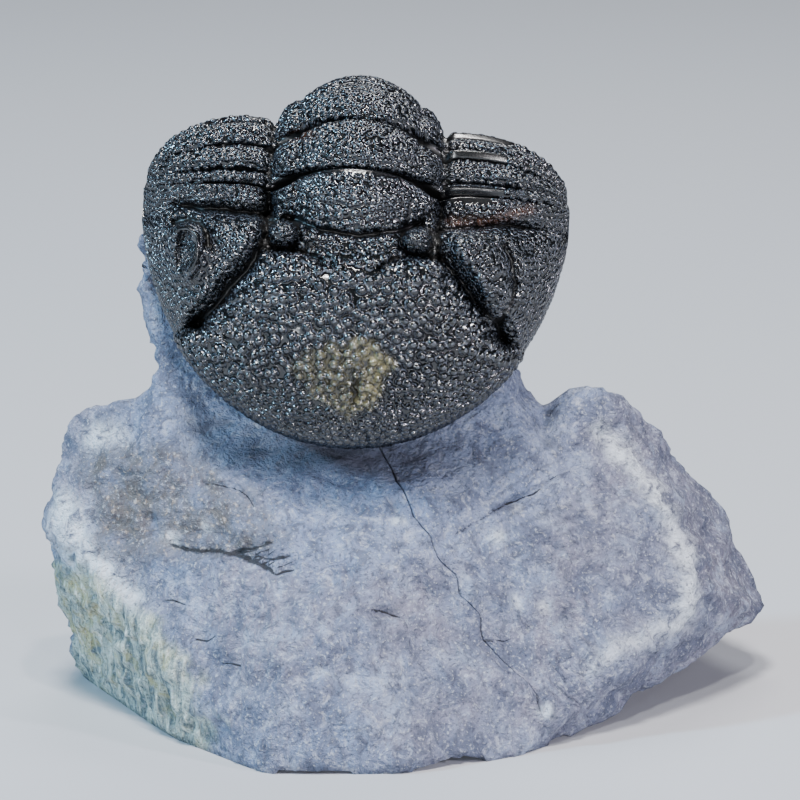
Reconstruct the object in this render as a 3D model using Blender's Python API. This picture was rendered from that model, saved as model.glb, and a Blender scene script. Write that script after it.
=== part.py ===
"""Morocops trilobite fossil, arched over a pedestal of its own limestone.

Shapes are worked out in millimetres and made in metres, +Z up. The origin is the middle of the
flat underside of the stone, and the head looks towards -Y.

The fossil has a frame of its own, on the axis of its curl: x runs to the right, v up the face and
w out of the face. Distances from the curl axis are called heights, angles about it start at w and
grow towards v, and slide is the distance that the axis has moved down the back of the pedestal.
"""
import math

import bmesh
import bpy
import numpy as np

MM = 0.001
COLLECTION = "morocops_trilobite"

# Fossil, in millimetres and degrees
HALF_WIDTH = 17.8
HEAD_DROP = 20.3
HEAD_DEPTH = 10.6
HEAD_FULLNESS = 2.6
CHIN_ANGLE = -95.0
PLEURA_HEIGHT = 6.2
LEFT_EXTRA = 0.5
PLEURA_FLAT = 9.0
LOBE_HEIGHT = 3.85
LOBE_HALF_WIDTH = 6.9
SHELL = 2.0
CLEARANCE = 0.35
CORE_ROOM = 1.1
SEGMENTS = 11
TAIL_STEPS = 4.0
TAIL_HALF_WIDTH = 12.6
TAIL_AXIS_HALF_WIDTH = 4.9
BED_GAP = 0.3

# Places on the head, as (side, v)
AXIAL_FURROW = ((7.3, 3.0), (7.3, -4.3), (12.5, -10.8))
LOWER_FURROW = ((12.5, -10.8), (14.4, -13.2))
GLABELLA_FURROW = ((1.9, -5.5), (3.2, -4.95), (6.9, -4.7))
NODE = (5.5, -3.4)
EYE = (13.7, -5.2)

# Posture of the fossil
CURL_CENTRE = (-3.6, 1.0, 43.5)
FACE_TILT = 14.0
ROLL = 3.0
NECK_ANGLE = 3.8
CURL_ANGLE = 160.0
CURL_RATE = 0.21
RIM_ARCH = 8.2
SLIDE_STEP = 2.45
SLIDE_START = 5.2
SLIDE_EASE = 1.3
SLIDE_DIRECTION = (-0.924, -0.385)

# Stone
STONE_HEART = (-4.0, 2.5, 22.0)
STONE_REACH = 60.0
STONE_AROUND = 48
STONE_RINGS = 29
STONE_TURN = 9.9
STONE_CROWN = 0.40
STONE_CROWN_RINGS = 4
STONE_UNDER_RINGS = 4
STONE_FOOT = 0.25
EDGE_ROUNDING = 0.3
FILLET = 3.5
COVE_MIDDLE = -3.0
COVE_HEIGHT = 23.7
PEDESTAL_LEFT = 18.0
PEDESTAL_RIGHT = 14.0

# Flat faces of the stone: the outward direction, and the distance from the origin
STONE_FACES = {
    "underside": ((0.0, 0.0, -1.0), 0.0),
    "front_right": ((0.373, -0.829, 0.415), 16.33),
    "front_left": ((-0.457, -0.796, 0.398), 21.3),
    "front_foot": ((0.0, -0.981, 0.196), 19.3),
    "right": ((0.839, -0.2065, 0.503), 28.1),
    "right_lower": ((0.706, -0.571, -0.419), 15.5),
    "right_under": ((0.3586, 0.0, -0.9334), 5.8),
    "back_right_top": ((0.468, 0.562, 0.683), 29.2),
    "back_right": ((0.754, 0.603, 0.26), 31.7),
    "left_upper": ((-0.95, -0.2, 0.24), 31.9),
    "left_lower": ((-0.974, -0.05, -0.221), 27.0),
    "back_left": ((-0.857, 0.505, 0.101), 28.4),
    "left_foot": ((-0.86, -0.42, -0.29), 20.6),
    "front_left_foot": ((-0.76, -0.62, -0.2), 20.6),
    "back": ((0.05, 0.95, 0.3), 20.5),
    "back_top": ((-0.03, 0.66, 0.75), 21.26),
    "left_shoulder": ((0.0, 0.35, 0.93), 26.2),
    "right_shoulder": ((0.1, 0.3, 0.95), 28.0),
}

LIMESTONE = ((0.27, 0.31, 0.40), 0.85)
BLACK_CALCITE = ((0.018, 0.020, 0.026), 0.28)


def clear_scene():
    for item in list(bpy.data.objects):
        bpy.data.objects.remove(item, do_unlink=True)


def ramp(value, start, end):
    """Smooth step from 0 at start to 1 at end."""
    t = np.clip((value - start) / (end - start), 0.0, 1.0)
    return t * t * (3.0 - 2.0 * t)


def bell(distance, half_width):
    """Rounded ridge or groove section: 1 on the line, fading over the half width."""
    return np.exp(-((distance / half_width) ** 2))


def line_distance(x, v, points):
    """Distance from (x, v) to a line through the given points."""
    best = np.full(np.broadcast(x, v).shape, 1e9)
    for (x0, v0), (x1, v1) in zip(points[:-1], points[1:]):
        run = (x1 - x0, v1 - v0)
        share = ((x - x0) * run[0] + (v - v0) * run[1]) / (run[0] ** 2 + run[1] ** 2)
        share = np.clip(share, 0.0, 1.0)
        best = np.minimum(best, np.hypot(x - x0 - share * run[0], v - v0 - share * run[1]))
    return best


def lattice_noise(points, size, seed):
    """Smooth noise from -1 to 1 with lumps of the given size."""
    grid = points / size
    cell = np.floor(grid).astype(np.int64)
    share = grid - cell
    share = share * share * (3.0 - 2.0 * share)
    total = np.zeros(len(points))
    for corner in np.ndindex(2, 2, 2):
        node = cell + np.array(corner)
        mixed = node[:, 0] * 73856093 ^ node[:, 1] * 19349663
        mixed = mixed ^ node[:, 2] * 83492791 ^ seed * 2654435761
        mixed = (mixed ^ (mixed >> 13)) * 1274126177 & 0xFFFFFFFF
        value = ((mixed ^ (mixed >> 16)) & 0xFFFF) / 32767.5 - 1.0
        weight = np.prod(np.where(np.array(corner) == 1, share, 1.0 - share), axis=1)
        total += weight * value
    return total


def body_axes():
    """Directions of x, v and w in the frame of the stone, as rows."""
    tilt = math.radians(FACE_TILT)
    roll = math.radians(ROLL)
    right = np.array((1.0, 0.0, 0.0))
    up = np.array((0.0, math.sin(tilt), math.cos(tilt)))
    out = np.array((0.0, -math.cos(tilt), math.sin(tilt)))
    return np.array((
        right * math.cos(roll) - up * math.sin(roll),
        right * math.sin(roll) + up * math.cos(roll),
        out,
    ))


def to_stone(x, v, w):
    """Points of the fossil's frame, placed in the frame of the stone."""
    x, v, w = np.broadcast_arrays(x, v, w)
    return np.stack((x, v, w), axis=-1) @ body_axes() + np.array(CURL_CENTRE)


def to_body(points):
    """Points of the stone's frame, in the frame of the fossil."""
    local = (points - np.array(CURL_CENTRE)) @ body_axes().T
    return local[..., 0], local[..., 1], local[..., 2]


def lobe_arch(x):
    """Arch of the axial lobe across the body: 1 on the axis, 0 from the axial furrow outwards."""
    return np.clip(1.0 - (x / LOBE_HALF_WIDTH) ** 2, 0.0, 1.0)


def section_height(x):
    """Height of the thorax above the curl axis, from side to side."""
    outward = np.clip((np.abs(x) - PLEURA_FLAT) / (HALF_WIDTH + 0.05 - PLEURA_FLAT), 0.0, 1.0)
    flat = PLEURA_HEIGHT + LEFT_EXTRA * ramp(-x, 4.0, 10.0)
    return flat * np.sqrt(1.0 - outward ** 2) + LOBE_HEIGHT * lobe_arch(x)


def slide(step):
    """How far the curl axis has moved down the pedestal at a step along the thorax."""
    return SLIDE_STEP * SLIDE_EASE * np.log1p(np.exp((step - SLIDE_START) / SLIDE_EASE))


def curl(step, x):
    """Angle about the curl axis, in radians. The first rims are arched over the axial lobe."""
    degrees = NECK_ANGLE + CURL_ANGLE * np.tanh(CURL_RATE * step)
    return np.radians(degrees + RIM_ARCH * lobe_arch(x) * np.exp(-1.5 * np.abs(step)))


def width_scale(down):
    return 1.0 - 0.010 * down - 0.0006 * down ** 2


def height_scale(down):
    return 1.0 - 0.011 * down


def place_on_body(across, step, rise):
    """Point of a tergite: share of the half width, step along the thorax, rise above its section."""
    down = slide(step)
    x = across * HALF_WIDTH
    height = section_height(x) * height_scale(down) + rise
    angle = curl(step, x)
    v = SLIDE_DIRECTION[0] * down + height * np.sin(angle)
    w = SLIDE_DIRECTION[1] * down + height * np.cos(angle)
    return to_stone(x * width_scale(down), v, w)


def head_base(x, angle):
    """Smooth form of the head: an ellipsoid that is fuller from chin to neck than from side to side."""
    narrowing = np.sqrt(np.clip(1.0 - (x / HALF_WIDTH) ** 2, 0.0, 1.0))
    forward = np.abs(np.cos(angle)) / HEAD_DEPTH
    downward = np.abs(np.sin(angle)) / HEAD_DROP
    reach = (forward ** HEAD_FULLNESS + downward ** HEAD_FULLNESS) ** (-1.0 / HEAD_FULLNESS)
    return narrowing * reach * np.sin(angle), narrowing * reach * np.cos(angle)


def head_relief(x, v, w):
    """Relief of the head along w: ring, borders, glabella, furrows, nodes and eyes."""
    side = np.abs(x)
    swell = 0.35 * lobe_arch(x) * bell(v + 0.3, 2.2)
    thorax = np.sqrt(np.clip(section_height(x) ** 2 - v ** 2, 0.0, None))
    relief = (thorax + swell - w) * ramp(v, -3.3, -1.2)
    relief += 0.5 * bell(np.hypot(side - 6.3, v + 0.4), 1.0)

    outline = 7.0 + np.where(v > -10.8, 0.83 * (-4.6 - v), 0.83 * 6.2 + 2.2 * (-10.8 - v))
    inside = np.minimum(0.75 * (outline - side), -4.4 - v)
    relief += 2.9 * (1.0 - np.exp(-np.clip(inside, 0.0, None) / 1.9))
    relief -= 0.7 * lobe_arch(x * 0.95) * bell(v + 4.1, 0.9)

    border_furrow = bell(v + 1.9, 0.9) * ramp(side, 6.2, 7.2) * ramp(side, 16.8, 15.6)
    occipital_furrow = bell(v + 3.1 - 0.045 * x ** 2, 0.7) * ramp(side, 6.2, 5.2)
    glabella_furrow = bell(line_distance(side, v, GLABELLA_FURROW), 0.7)
    axial_furrow = bell(line_distance(side, v, AXIAL_FURROW), 1.0)
    lower_furrow = bell(line_distance(side, v, LOWER_FURROW), 0.8)
    relief -= 0.9 * border_furrow + 1.0 * occipital_furrow + 0.9 * glabella_furrow
    relief -= 1.1 * axial_furrow + 0.4 * lower_furrow
    relief -= 0.8 * bell(np.hypot(side - 12.5, v + 10.8), 0.8)
    relief += 1.1 * bell(np.hypot(side - NODE[0], v - NODE[1]), 1.0)

    eye = np.hypot((side - EYE[0]) / 1.9, (v - EYE[1]) / 2.5)
    relief += 1.3 * ramp(eye, 1.25, 0.5)
    relief -= 0.5 * bell(np.hypot(side - 13.0, v + 2.8), 0.9)
    return relief


def head_surface(x, angle):
    """Outer surface of the head at a place across and an angle about the curl axis."""
    v, w = head_base(x, angle)
    relief = head_relief(x, v, w) * ramp(w, -0.2, 3.2)
    return v, w + relief


def head_loop(x):
    """Closed section of the head at one place across, as rows of (v, w)."""
    top = NECK_ANGLE + RIM_ARCH * float(lobe_arch(x))
    rows = (top, 0.55 * top - 1.5, -4.0, -8.5, -11.5, -14.5, -17.0, -20.0, -23.0, -25.5, -28.0,
            -31.0, -34.5, -38.5, -43.0, -48.0, -53.5, -59.5, -66.0, -73.0, -80.0, -87.0, CHIN_ANGLE)
    v, w = head_surface(x, np.radians(np.array(rows)))
    back = w[-1]
    section = float(section_height(x))
    thin = min(1.0, section / 5.0)
    points = list(zip(v, w))
    points += [(v[-1] * share, back) for share in (0.66, 0.33, 0.05)]
    core = max(section - (SHELL + CORE_ROOM) * thin, 0.25 * section)
    for degrees in (97.0, 72.0, 46.0, 20.0, -6.5):
        angle = math.radians(degrees)
        points.append((core * math.sin(angle), max(core * math.cos(angle), back)))
    for degrees, depth in ((-5.5, 0.8), (top, 0.6)):
        angle = math.radians(degrees)
        points.append(((section - depth * thin) * math.sin(angle), (section - depth * thin) * math.cos(angle)))
    return points


def segment_loop(across, number):
    """Closed section of one tergite: flange, front band, furrow, hind band, free rim and inside."""
    x = across * HALF_WIDTH
    lobe = float(lobe_arch(x)) ** 0.5
    thin = float(np.clip(section_height(x) / 5.0, 0.15, 1.0))
    furrow = float(ramp(abs(x), 16.0, 12.5))

    def blend(on_lobe, on_pleura):
        return on_pleura + (on_lobe - on_pleura) * lobe

    profile = (
        (-0.24 * thin, -1.35 * thin),
        (0.05, blend(-1.05, -0.50) * thin),
        (0.28, blend(0.10, 0.00)),
        (0.50, blend(0.45, -0.65 * furrow)),
        (0.76, blend(0.55, 0.05)),
        (0.985, blend(0.40, 0.00)),
        (0.97, blend(-0.50, -0.42) * thin),
        (0.70, -0.85 * thin),
        (0.66, -SHELL * thin),
        (0.02, -SHELL * thin),
    )
    return [(number + part, rise) for part, rise in profile]


def tail_loop(across):
    """Closed section of the tail shield, which ends where its rounded outline does."""
    x = across * TAIL_HALF_WIDTH
    length = math.sqrt(max(1.0 - abs(across) ** 2.2, 0.0))
    lobe = max(0.0, 1.0 - (x / TAIL_AXIS_HALF_WIDTH) ** 2)
    thin = float(np.clip(section_height(x / width_scale(slide(SEGMENTS))) / 5.0, 0.15, 1.0))
    outside = [(-0.045 * thin, -1.45 * thin)]
    for part in (0.045, 0.15, 0.32, 0.52, 0.74, 0.92, 1.0):
        dome = math.sqrt(max(1.0 - min(math.hypot(across, part * length), 1.0) ** 3, 0.0))
        outside.append((part * length, 0.1 - 1.2 * (1.0 - dome) + 0.35 * lobe * dome))
    inside = [(length * part, -1.9 * (thin + (1.0 - thin) * part)) for part in (0.94, 0.5, 0.02)]
    return [(SEGMENTS + TAIL_STEPS * share, rise) for share, rise in outside + inside]


def loft(name, loops, ends):
    """Closed solid through equal sections: a UV sphere whose rings are laid on the loops."""
    count = len(loops[0])
    mesh = bpy.data.meshes.new(name)
    shape = bmesh.new()
    bmesh.ops.create_uvsphere(shape, u_segments=count, v_segments=len(loops) + 1, radius=1.0)
    for vertex in shape.verts:
        ring = round(math.acos(max(-1.0, min(1.0, vertex.co.z))) / math.pi * (len(loops) + 1))
        if ring == 0 or ring == len(loops) + 1:
            place = ends[0] if ring == 0 else ends[1]
        else:
            turn = round(math.atan2(vertex.co.y, vertex.co.x) / (2.0 * math.pi) * count) % count
            place = loops[ring - 1][turn]
        vertex.co = [value * MM for value in place]
    bmesh.ops.triangulate(shape, faces=shape.faces)
    bmesh.ops.recalc_face_normals(shape, faces=shape.faces)
    shape.to_mesh(mesh)
    shape.free()
    return bpy.data.objects.new(name, mesh)


def make_cephalon():
    shares = np.linspace(-0.97, 0.97, 43)
    places = HALF_WIDTH * (0.6 * shares + 0.4 * np.sin(0.5 * math.pi * shares))
    loops = []
    for x in places:
        v, w = zip(*head_loop(float(x)))
        loops.append(to_stone(x, np.array(v), np.array(w)))
    ends = [to_stone(side * HALF_WIDTH * 0.997, 0.1, 0.0) for side in (-1.0, 1.0)]
    return loft("cephalon", loops, ends)


def make_segment(number):
    shares = np.array((0.0, 0.13, 0.25, 0.345, 0.415, 0.56, 0.72, 0.87))
    across = np.concatenate((-shares[:0:-1], shares))
    loops = []
    for share in across:
        step, rise = (np.array(column) for column in zip(*segment_loop(float(share), number)))
        loops.append(place_on_body(share, step, rise))
    ends = [place_on_body(side * 0.975, number + 0.5, -0.5) for side in (-1.0, 1.0)]
    return loft(f"thoracic_segment_{number + 1:02d}", loops, ends)


def make_pygidium():
    shares = np.array((0.0, 0.15, 0.3, 0.42, 0.55, 0.68, 0.8, 0.9))
    across = np.concatenate((-shares[:0:-1], shares))
    loops = []
    for share in across:
        step, rise = (np.array(column) for column in zip(*tail_loop(float(share))))
        x = share * TAIL_HALF_WIDTH
        loops.append(place_tail(x, step, rise))
    ends = [place_tail(side * TAIL_HALF_WIDTH * 0.965, SEGMENTS + 0.6, -1.2) for side in (-1.0, 1.0)]
    return loft("pygidium", loops, ends)


def place_tail(x, step, rise):
    """Point of the tail shield, at a true distance across instead of a share of the width."""
    down = slide(step)
    section_x = np.clip(x / width_scale(down), -HALF_WIDTH, HALF_WIDTH)
    height = section_height(section_x) * height_scale(down)
    height = np.maximum(height, 2.6) + rise
    angle = curl(step, section_x)
    v = SLIDE_DIRECTION[0] * down + height * np.sin(angle)
    w = SLIDE_DIRECTION[1] * down + height * np.cos(angle)
    return to_stone(x, v, w)


def smooth_max(values, radius):
    """Largest of several distances, with rounded corners."""
    peak = np.max(values, axis=0)
    return peak + radius * np.log(np.sum(np.exp((values - peak) / radius), axis=0))


def smooth_union(first, second, radius):
    """Smaller of two distances, with a fillet between the two bodies."""
    share = np.clip(0.5 + 0.5 * (second - first) / radius, 0.0, 1.0)
    return second + (first - second) * share - radius * share * (1.0 - share)


def cove_distance(points):
    """Height above the hollow that was worked out of the stone in front of the pedestal."""
    x, y, z = points.T
    floor = COVE_HEIGHT + 0.4 * y - 9.3e-5 * y ** 4 * (y < 0.0)
    return 0.8 * (z - floor - 0.012 * (x - COVE_MIDDLE) ** 2)


def block_distance(points):
    """Distance to the block of stone: its flat faces and the hollow in front."""
    rows = [points @ np.array(direction) - reach for direction, reach in STONE_FACES.values()]
    faces = smooth_max(np.array(rows), EDGE_ROUNDING)
    hollow = cove_distance(points)
    return -smooth_union(-faces, -hollow, 2.0)


def pedestal_distance(points):
    """Distance to the pedestal: flat behind the head, filling the curl, wider on the left."""
    x, v, w = to_body(points)
    narrowing = np.sqrt(np.clip(1.0 - (x / HALF_WIDTH) ** 2, 0.0, 1.0))
    front = w + 1.8 * narrowing + CLEARANCE
    left = -x - (PEDESTAL_LEFT - 0.2 * np.clip(-v - 5.0, 0.0, None) - 1.5 * ramp(v, -4.0, -1.0))
    right = x - (PEDESTAL_RIGHT + 0.22 * np.clip(v + 13.0, 0.0, None))
    along = v * SLIDE_DIRECTION[0] + w * SLIDE_DIRECTION[1]
    behind = w * SLIDE_DIRECTION[0] - v * SLIDE_DIRECTION[1]
    down = np.clip(along, 0.0, 26.0)
    from_axis = np.hypot(np.clip(behind, 0.0, None), np.clip(-along, 0.0, None))
    section = section_height(x / width_scale(down)) * height_scale(down)
    core = from_axis - np.maximum(section - SHELL - CORE_ROOM, 0.45)
    return smooth_max(np.array((front, left, right, core)), 0.4)


def stone_distance(points):
    """Distance to the whole stone, with its lumps."""
    body = smooth_union(block_distance(points), pedestal_distance(points), FILLET)
    body = np.maximum(body, -points[:, 2])
    lumps = 0.45 * lattice_noise(points, 9.0, 1) + 0.2 * lattice_noise(points, 4.0, 2)
    return body + lumps * ramp(points[:, 2], 0.3, 4.0) * ramp(points[:, 2], 32.0, 25.0)


def reach_of_stone(directions):
    """Distance from the heart of the stone to its surface, found by halving."""
    heart = np.array(STONE_HEART)
    near = np.full(len(directions), 2.0)
    far = np.full(len(directions), STONE_REACH)
    for _ in range(26):
        middle = 0.5 * (near + far)
        inside = stone_distance(heart + directions * middle[:, None]) < 0.0
        near = np.where(inside, middle, near)
        far = np.where(inside, far, middle)
    return near


def direction_of(polar, turn):
    """Unit vectors at an angle from straight up and a turn about the upright axis."""
    return np.stack((np.sin(polar) * np.cos(turn), np.sin(polar) * np.sin(turn), np.cos(polar)), axis=-1)


def foot_angles(turns):
    """Angle from straight up at which each turn meets the foot of the stone, found by halving."""
    low = np.full(len(turns), 0.9)
    high = np.full(len(turns), 2.9)
    for _ in range(24):
        middle = 0.5 * (low + high)
        rays = direction_of(middle, turns)
        above = STONE_HEART[2] + rays[:, 2] * reach_of_stone(rays) > STONE_FOOT
        low = np.where(above, middle, low)
        high = np.where(above, high, middle)
    return low


def make_matrix():
    """The stone: rings of points round its heart, from the crown to the foot and under it."""
    turns = math.radians(STONE_TURN) + np.arange(STONE_AROUND) * 2.0 * math.pi / STONE_AROUND
    foot = foot_angles(turns)
    crown = np.linspace(0.0, STONE_CROWN, STONE_CROWN_RINGS + 1)[:-1, None] * np.ones(STONE_AROUND)
    side_rings = STONE_RINGS + 1 - STONE_CROWN_RINGS - STONE_UNDER_RINGS
    down = np.linspace(0.0, 1.0, side_rings)[:, None]
    side = STONE_CROWN + down * (foot - STONE_CROWN)
    under = foot + np.linspace(0.0, 1.0, STONE_UNDER_RINGS + 2)[1:, None] * (math.pi - foot)
    polar = np.concatenate((crown, side, under))
    directions = direction_of(polar, turns)
    reach = reach_of_stone(directions.reshape(-1, 3)).reshape(polar.shape)
    places = np.array(STONE_HEART) + directions * reach[..., None]
    foot_ring = STONE_CROWN_RINGS + side_rings - 1
    places[foot_ring:, :, 2] = 0.0
    return loft("matrix", list(places[1:-1]), (places[0, 0], places[-1, 0]))


def inflated_copy(item, distance):
    """Copy of a sclerite, swollen along its normals, that cuts its bed into the stone."""
    mesh = item.data.copy()
    shape = bmesh.new()
    shape.from_mesh(mesh)
    shape.normal_update()
    moves = [vertex.normal * distance for vertex in shape.verts]
    for vertex, move in zip(shape.verts, moves):
        vertex.co += move
    shape.to_mesh(mesh)
    shape.free()
    cutter = bpy.data.objects.new(f"{item.name}_bed", mesh)
    cutter.hide_render = True
    cutter.display_type = "WIRE"
    return cutter


def cut_beds(stone, cutters):
    for cutter in cutters:
        cut = stone.modifiers.new(cutter.name, "BOOLEAN")
        cut.operation = "DIFFERENCE"
        cut.solver = "EXACT"
        cut.object = cutter


def make_material(name, colour, roughness):
    material = bpy.data.materials.new(name)
    material.use_nodes = True
    shader = material.node_tree.nodes["Principled BSDF"]
    shader.inputs["Base Color"].default_value = (*colour, 1.0)
    shader.inputs["Roughness"].default_value = roughness
    shader.inputs["Metallic"].default_value = 0.0
    return material


def main():
    clear_scene()
    parts = bpy.data.collections.new(COLLECTION)
    beds = bpy.data.collections.new("beds")
    for collection in (parts, beds):
        bpy.context.scene.collection.children.link(collection)

    stone = make_matrix()
    sclerites = [make_cephalon()]
    sclerites += [make_segment(number) for number in range(SEGMENTS)]
    sclerites.append(make_pygidium())
    cutters = [inflated_copy(item, BED_GAP * MM) for item in sclerites]
    cut_beds(stone, cutters)

    stone.data.materials.append(make_material("limestone", *LIMESTONE))
    for item in sclerites:
        item.data.materials.append(make_material(f"{item.name}_calcite", *BLACK_CALCITE))
    for item in [stone] + sclerites:
        parts.objects.link(item)
        item.data.shade_smooth()
        item.data.set_sharp_from_angle(angle=math.radians(40.0))
    for cutter in cutters:
        beds.objects.link(cutter)


main()
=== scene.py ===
"""Morocops trilobite, black and granulated, arched over the limestone that it was prepared from.

Shapes are worked out in millimetres and put into the meshes in metres. The fossil has a frame of
its own, on the axis of its curl: x to the right, v up the face and w out of the face. A step counts
segments along the thorax, from the neck backwards.
"""

import math

import bpy
import numpy as np
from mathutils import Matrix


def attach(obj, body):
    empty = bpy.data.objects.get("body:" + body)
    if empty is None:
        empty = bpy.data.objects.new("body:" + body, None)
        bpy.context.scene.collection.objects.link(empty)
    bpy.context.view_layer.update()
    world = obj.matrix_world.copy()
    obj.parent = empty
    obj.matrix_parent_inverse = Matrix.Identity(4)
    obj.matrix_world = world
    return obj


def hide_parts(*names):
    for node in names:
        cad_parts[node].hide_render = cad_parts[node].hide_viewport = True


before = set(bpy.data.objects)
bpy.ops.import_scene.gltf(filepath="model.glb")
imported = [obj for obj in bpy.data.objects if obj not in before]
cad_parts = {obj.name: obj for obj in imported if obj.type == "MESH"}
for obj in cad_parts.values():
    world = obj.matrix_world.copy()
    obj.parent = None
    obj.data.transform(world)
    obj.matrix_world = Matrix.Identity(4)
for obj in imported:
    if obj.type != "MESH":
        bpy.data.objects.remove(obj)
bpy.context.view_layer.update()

MM = 0.001

# Fossil, in millimetres and degrees
HALF_WIDTH = 17.8
HEAD_DROP = 20.3
HEAD_DEPTH = 10.6
HEAD_FULLNESS = 2.6
CHIN_ANGLE = -95.0
PLEURA_HEIGHT = 6.2
LEFT_EXTRA = 0.5
PLEURA_FLAT = 9.0
LOBE_HEIGHT = 3.85
LOBE_HALF_WIDTH = 6.9
SHELL = 2.0
CLEARANCE = 0.35
CORE_ROOM = 1.1
SEGMENTS = 11
TAIL_STEPS = 4.0
TAIL_HALF_WIDTH = 12.6

# Granules: gap and radius over the wanted spacing, spread of their sizes, and their mask at a centre
GRANULE_GAP = 0.78
GRANULE_RADIUS = 0.52
GRANULE_SIZES = (0.82, 1.06)
GRANULE_WINDOW = 60
GRANULE_PEAK = 1.6

# Posture of the fossil
CURL_CENTRE = (-3.6, 1.0, 43.5)
FACE_TILT = 14.0
ROLL = 3.0
NECK_ANGLE = 3.8
CURL_ANGLE = 160.0
CURL_RATE = 0.21
RIM_ARCH = 8.2
RIM_DROOP = 3.6
SLIDE_STEP = 2.45
SLIDE_START = 5.2
SLIDE_EASE = 1.3
SLIDE_DIRECTION = (-0.924, -0.385)

# Stone
STONE_HEART = (-4.0, 2.5, 22.0)
STONE_REACH = 60.0
EDGE_ROUNDING = 0.3
FILLET = 3.5
COVE_MIDDLE = -3.0
STONE_FACES = {
    "underside": ((0.0, 0.0, -1.0), 0.0),
    "front_right": ((0.373, -0.829, 0.415), 16.33),
    "front_left": ((-0.457, -0.796, 0.398), 21.3),
    "front_foot": ((0.0, -0.981, 0.196), 19.3),
    "right": ((0.839, -0.2065, 0.503), 28.1),
    "right_lower": ((0.706, -0.571, -0.419), 15.5),
    "right_under": ((0.3586, 0.0, -0.9334), 5.8),
    "back_right_top": ((0.468, 0.562, 0.683), 29.2),
    "back_right": ((0.754, 0.603, 0.26), 31.7),
    "left_upper": ((-0.95, -0.2, 0.24), 31.9),
    "left_lower": ((-0.974, -0.05, -0.221), 27.0),
    "back_left": ((-0.857, 0.505, 0.101), 28.4),
    "left_foot": ((-0.86, -0.42, -0.29), 20.6),
    "front_left_foot": ((-0.76, -0.62, -0.2), 20.6),
    "back": ((0.05, 0.95, 0.3), 20.5),
    "back_top": ((-0.03, 0.66, 0.75), 21.26),
    "left_shoulder": ((0.0, 0.35, 0.93), 26.2),
    "right_shoulder": ((0.1, 0.3, 0.95), 28.0),
}

# Camera, in millimetres
CAMERA_ELEVATION = 14.0
CAMERA_DISTANCE = 420.0
CAMERA_TARGET = (0.0, -3.45, 27.48)
CAMERA_LENS = 226.8
SENSOR = 36.0
PICTURE = 800.0
PIXELS_PER_MM = 12.0


def ramp(value, start, end):
    """Smooth step from 0 at start to 1 at end."""
    t = np.clip((value - start) / (end - start), 0.0, 1.0)
    return t * t * (3.0 - 2.0 * t)


def bell(distance, half_width):
    """exp(-(distance / half width)^2): the section of a rounded ridge or groove."""
    return np.exp(-((distance / half_width) ** 2))


def line_distance(x, v, points):
    """Distance from (x, v) to the line through the points: the least over its straight stretches."""
    best = np.full(np.broadcast(x, v).shape, 1e9)
    for (x0, v0), (x1, v1) in zip(points[:-1], points[1:]):
        run = (x1 - x0, v1 - v0)
        share = ((x - x0) * run[0] + (v - v0) * run[1]) / (run[0] ** 2 + run[1] ** 2)
        share = np.clip(share, 0.0, 1.0)
        best = np.minimum(best, np.hypot(x - x0 - share * run[0], v - v0 - share * run[1]))
    return best


def lattice_noise(points, size, seed):
    """Smooth noise from -1 to 1: values at the corners of cells of the given size, blended inside.

    The value of a corner is its whole numbers and the seed, scattered by large odd multipliers.
    """
    grid = points / size
    cell = np.floor(grid).astype(np.int64)
    share = grid - cell
    share = share * share * (3.0 - 2.0 * share)
    total = np.zeros(points.shape[:-1])
    for corner in np.ndindex(2, 2, 2):
        node = cell + np.array(corner)
        mixed = node[..., 0] * 73856093 ^ node[..., 1] * 19349663 ^ node[..., 2] * 83492791
        mixed = mixed ^ seed * 2654435761
        mixed = (mixed ^ (mixed >> 13)) * 1274126177 & 0xFFFFFFFF
        value = ((mixed ^ (mixed >> 16)) & 0xFFFF) / 32767.5 - 1.0
        weight = np.prod(np.where(np.array(corner) == 1, share, 1.0 - share), axis=-1)
        total += weight * value
    return total


def layered_noise(points, size, seed, layers=3, fading=0.5):
    """Sum of lattice noise whose size halves and whose height fades from layer to layer."""
    total = np.zeros(points.shape[:-1])
    for layer in range(layers):
        total += fading ** layer * lattice_noise(points, size * 0.5 ** layer, seed + layer)
    return total


def body_axes():
    """Directions of x, v and w in the frame of the stone, as rows."""
    tilt = math.radians(FACE_TILT)
    roll = math.radians(ROLL)
    right = np.array((1.0, 0.0, 0.0))
    up = np.array((0.0, math.sin(tilt), math.cos(tilt)))
    out = np.array((0.0, -math.cos(tilt), math.sin(tilt)))
    return np.array((
        right * math.cos(roll) - up * math.sin(roll),
        right * math.sin(roll) + up * math.cos(roll),
        out,
    ))


def to_stone(x, v, w):
    """Points of the fossil's frame, placed in the frame of the stone."""
    x, v, w = np.broadcast_arrays(x, v, w)
    return np.stack((x, v, w), axis=-1) @ body_axes() + np.array(CURL_CENTRE)


def to_body(points):
    """Points of the stone's frame, in the frame of the fossil."""
    local = (points - np.array(CURL_CENTRE)) @ body_axes().T
    return local[..., 0], local[..., 1], local[..., 2]


def camera_axes():
    """Directions up and forward in the picture, whose third direction is x."""
    rise = math.radians(CAMERA_ELEVATION)
    return np.array((0.0, math.sin(rise), math.cos(rise))), np.array((0.0, math.cos(rise), -math.sin(rise)))


def camera_place():
    """Place of the camera: its distance back from the target, against its forward direction."""
    return np.array(CAMERA_TARGET) - camera_axes()[1] * CAMERA_DISTANCE


def picture_place(points):
    """Where points fall in a picture 800 wide, seen once from the front: across, and down."""
    local = points - camera_place()
    up, forward = camera_axes()
    depth = local @ forward
    scale = PICTURE * CAMERA_LENS / SENSOR / depth
    return PICTURE / 2 + local[..., 0] * scale, PICTURE / 2 - (local @ up) * scale


def oval(across, below, centre, half_sizes):
    """Distance in the picture from a centre, over the half sizes of an oval: 1 on the oval."""
    return np.hypot((across - centre[0]) / half_sizes[0], (below - centre[1]) / half_sizes[1])


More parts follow.
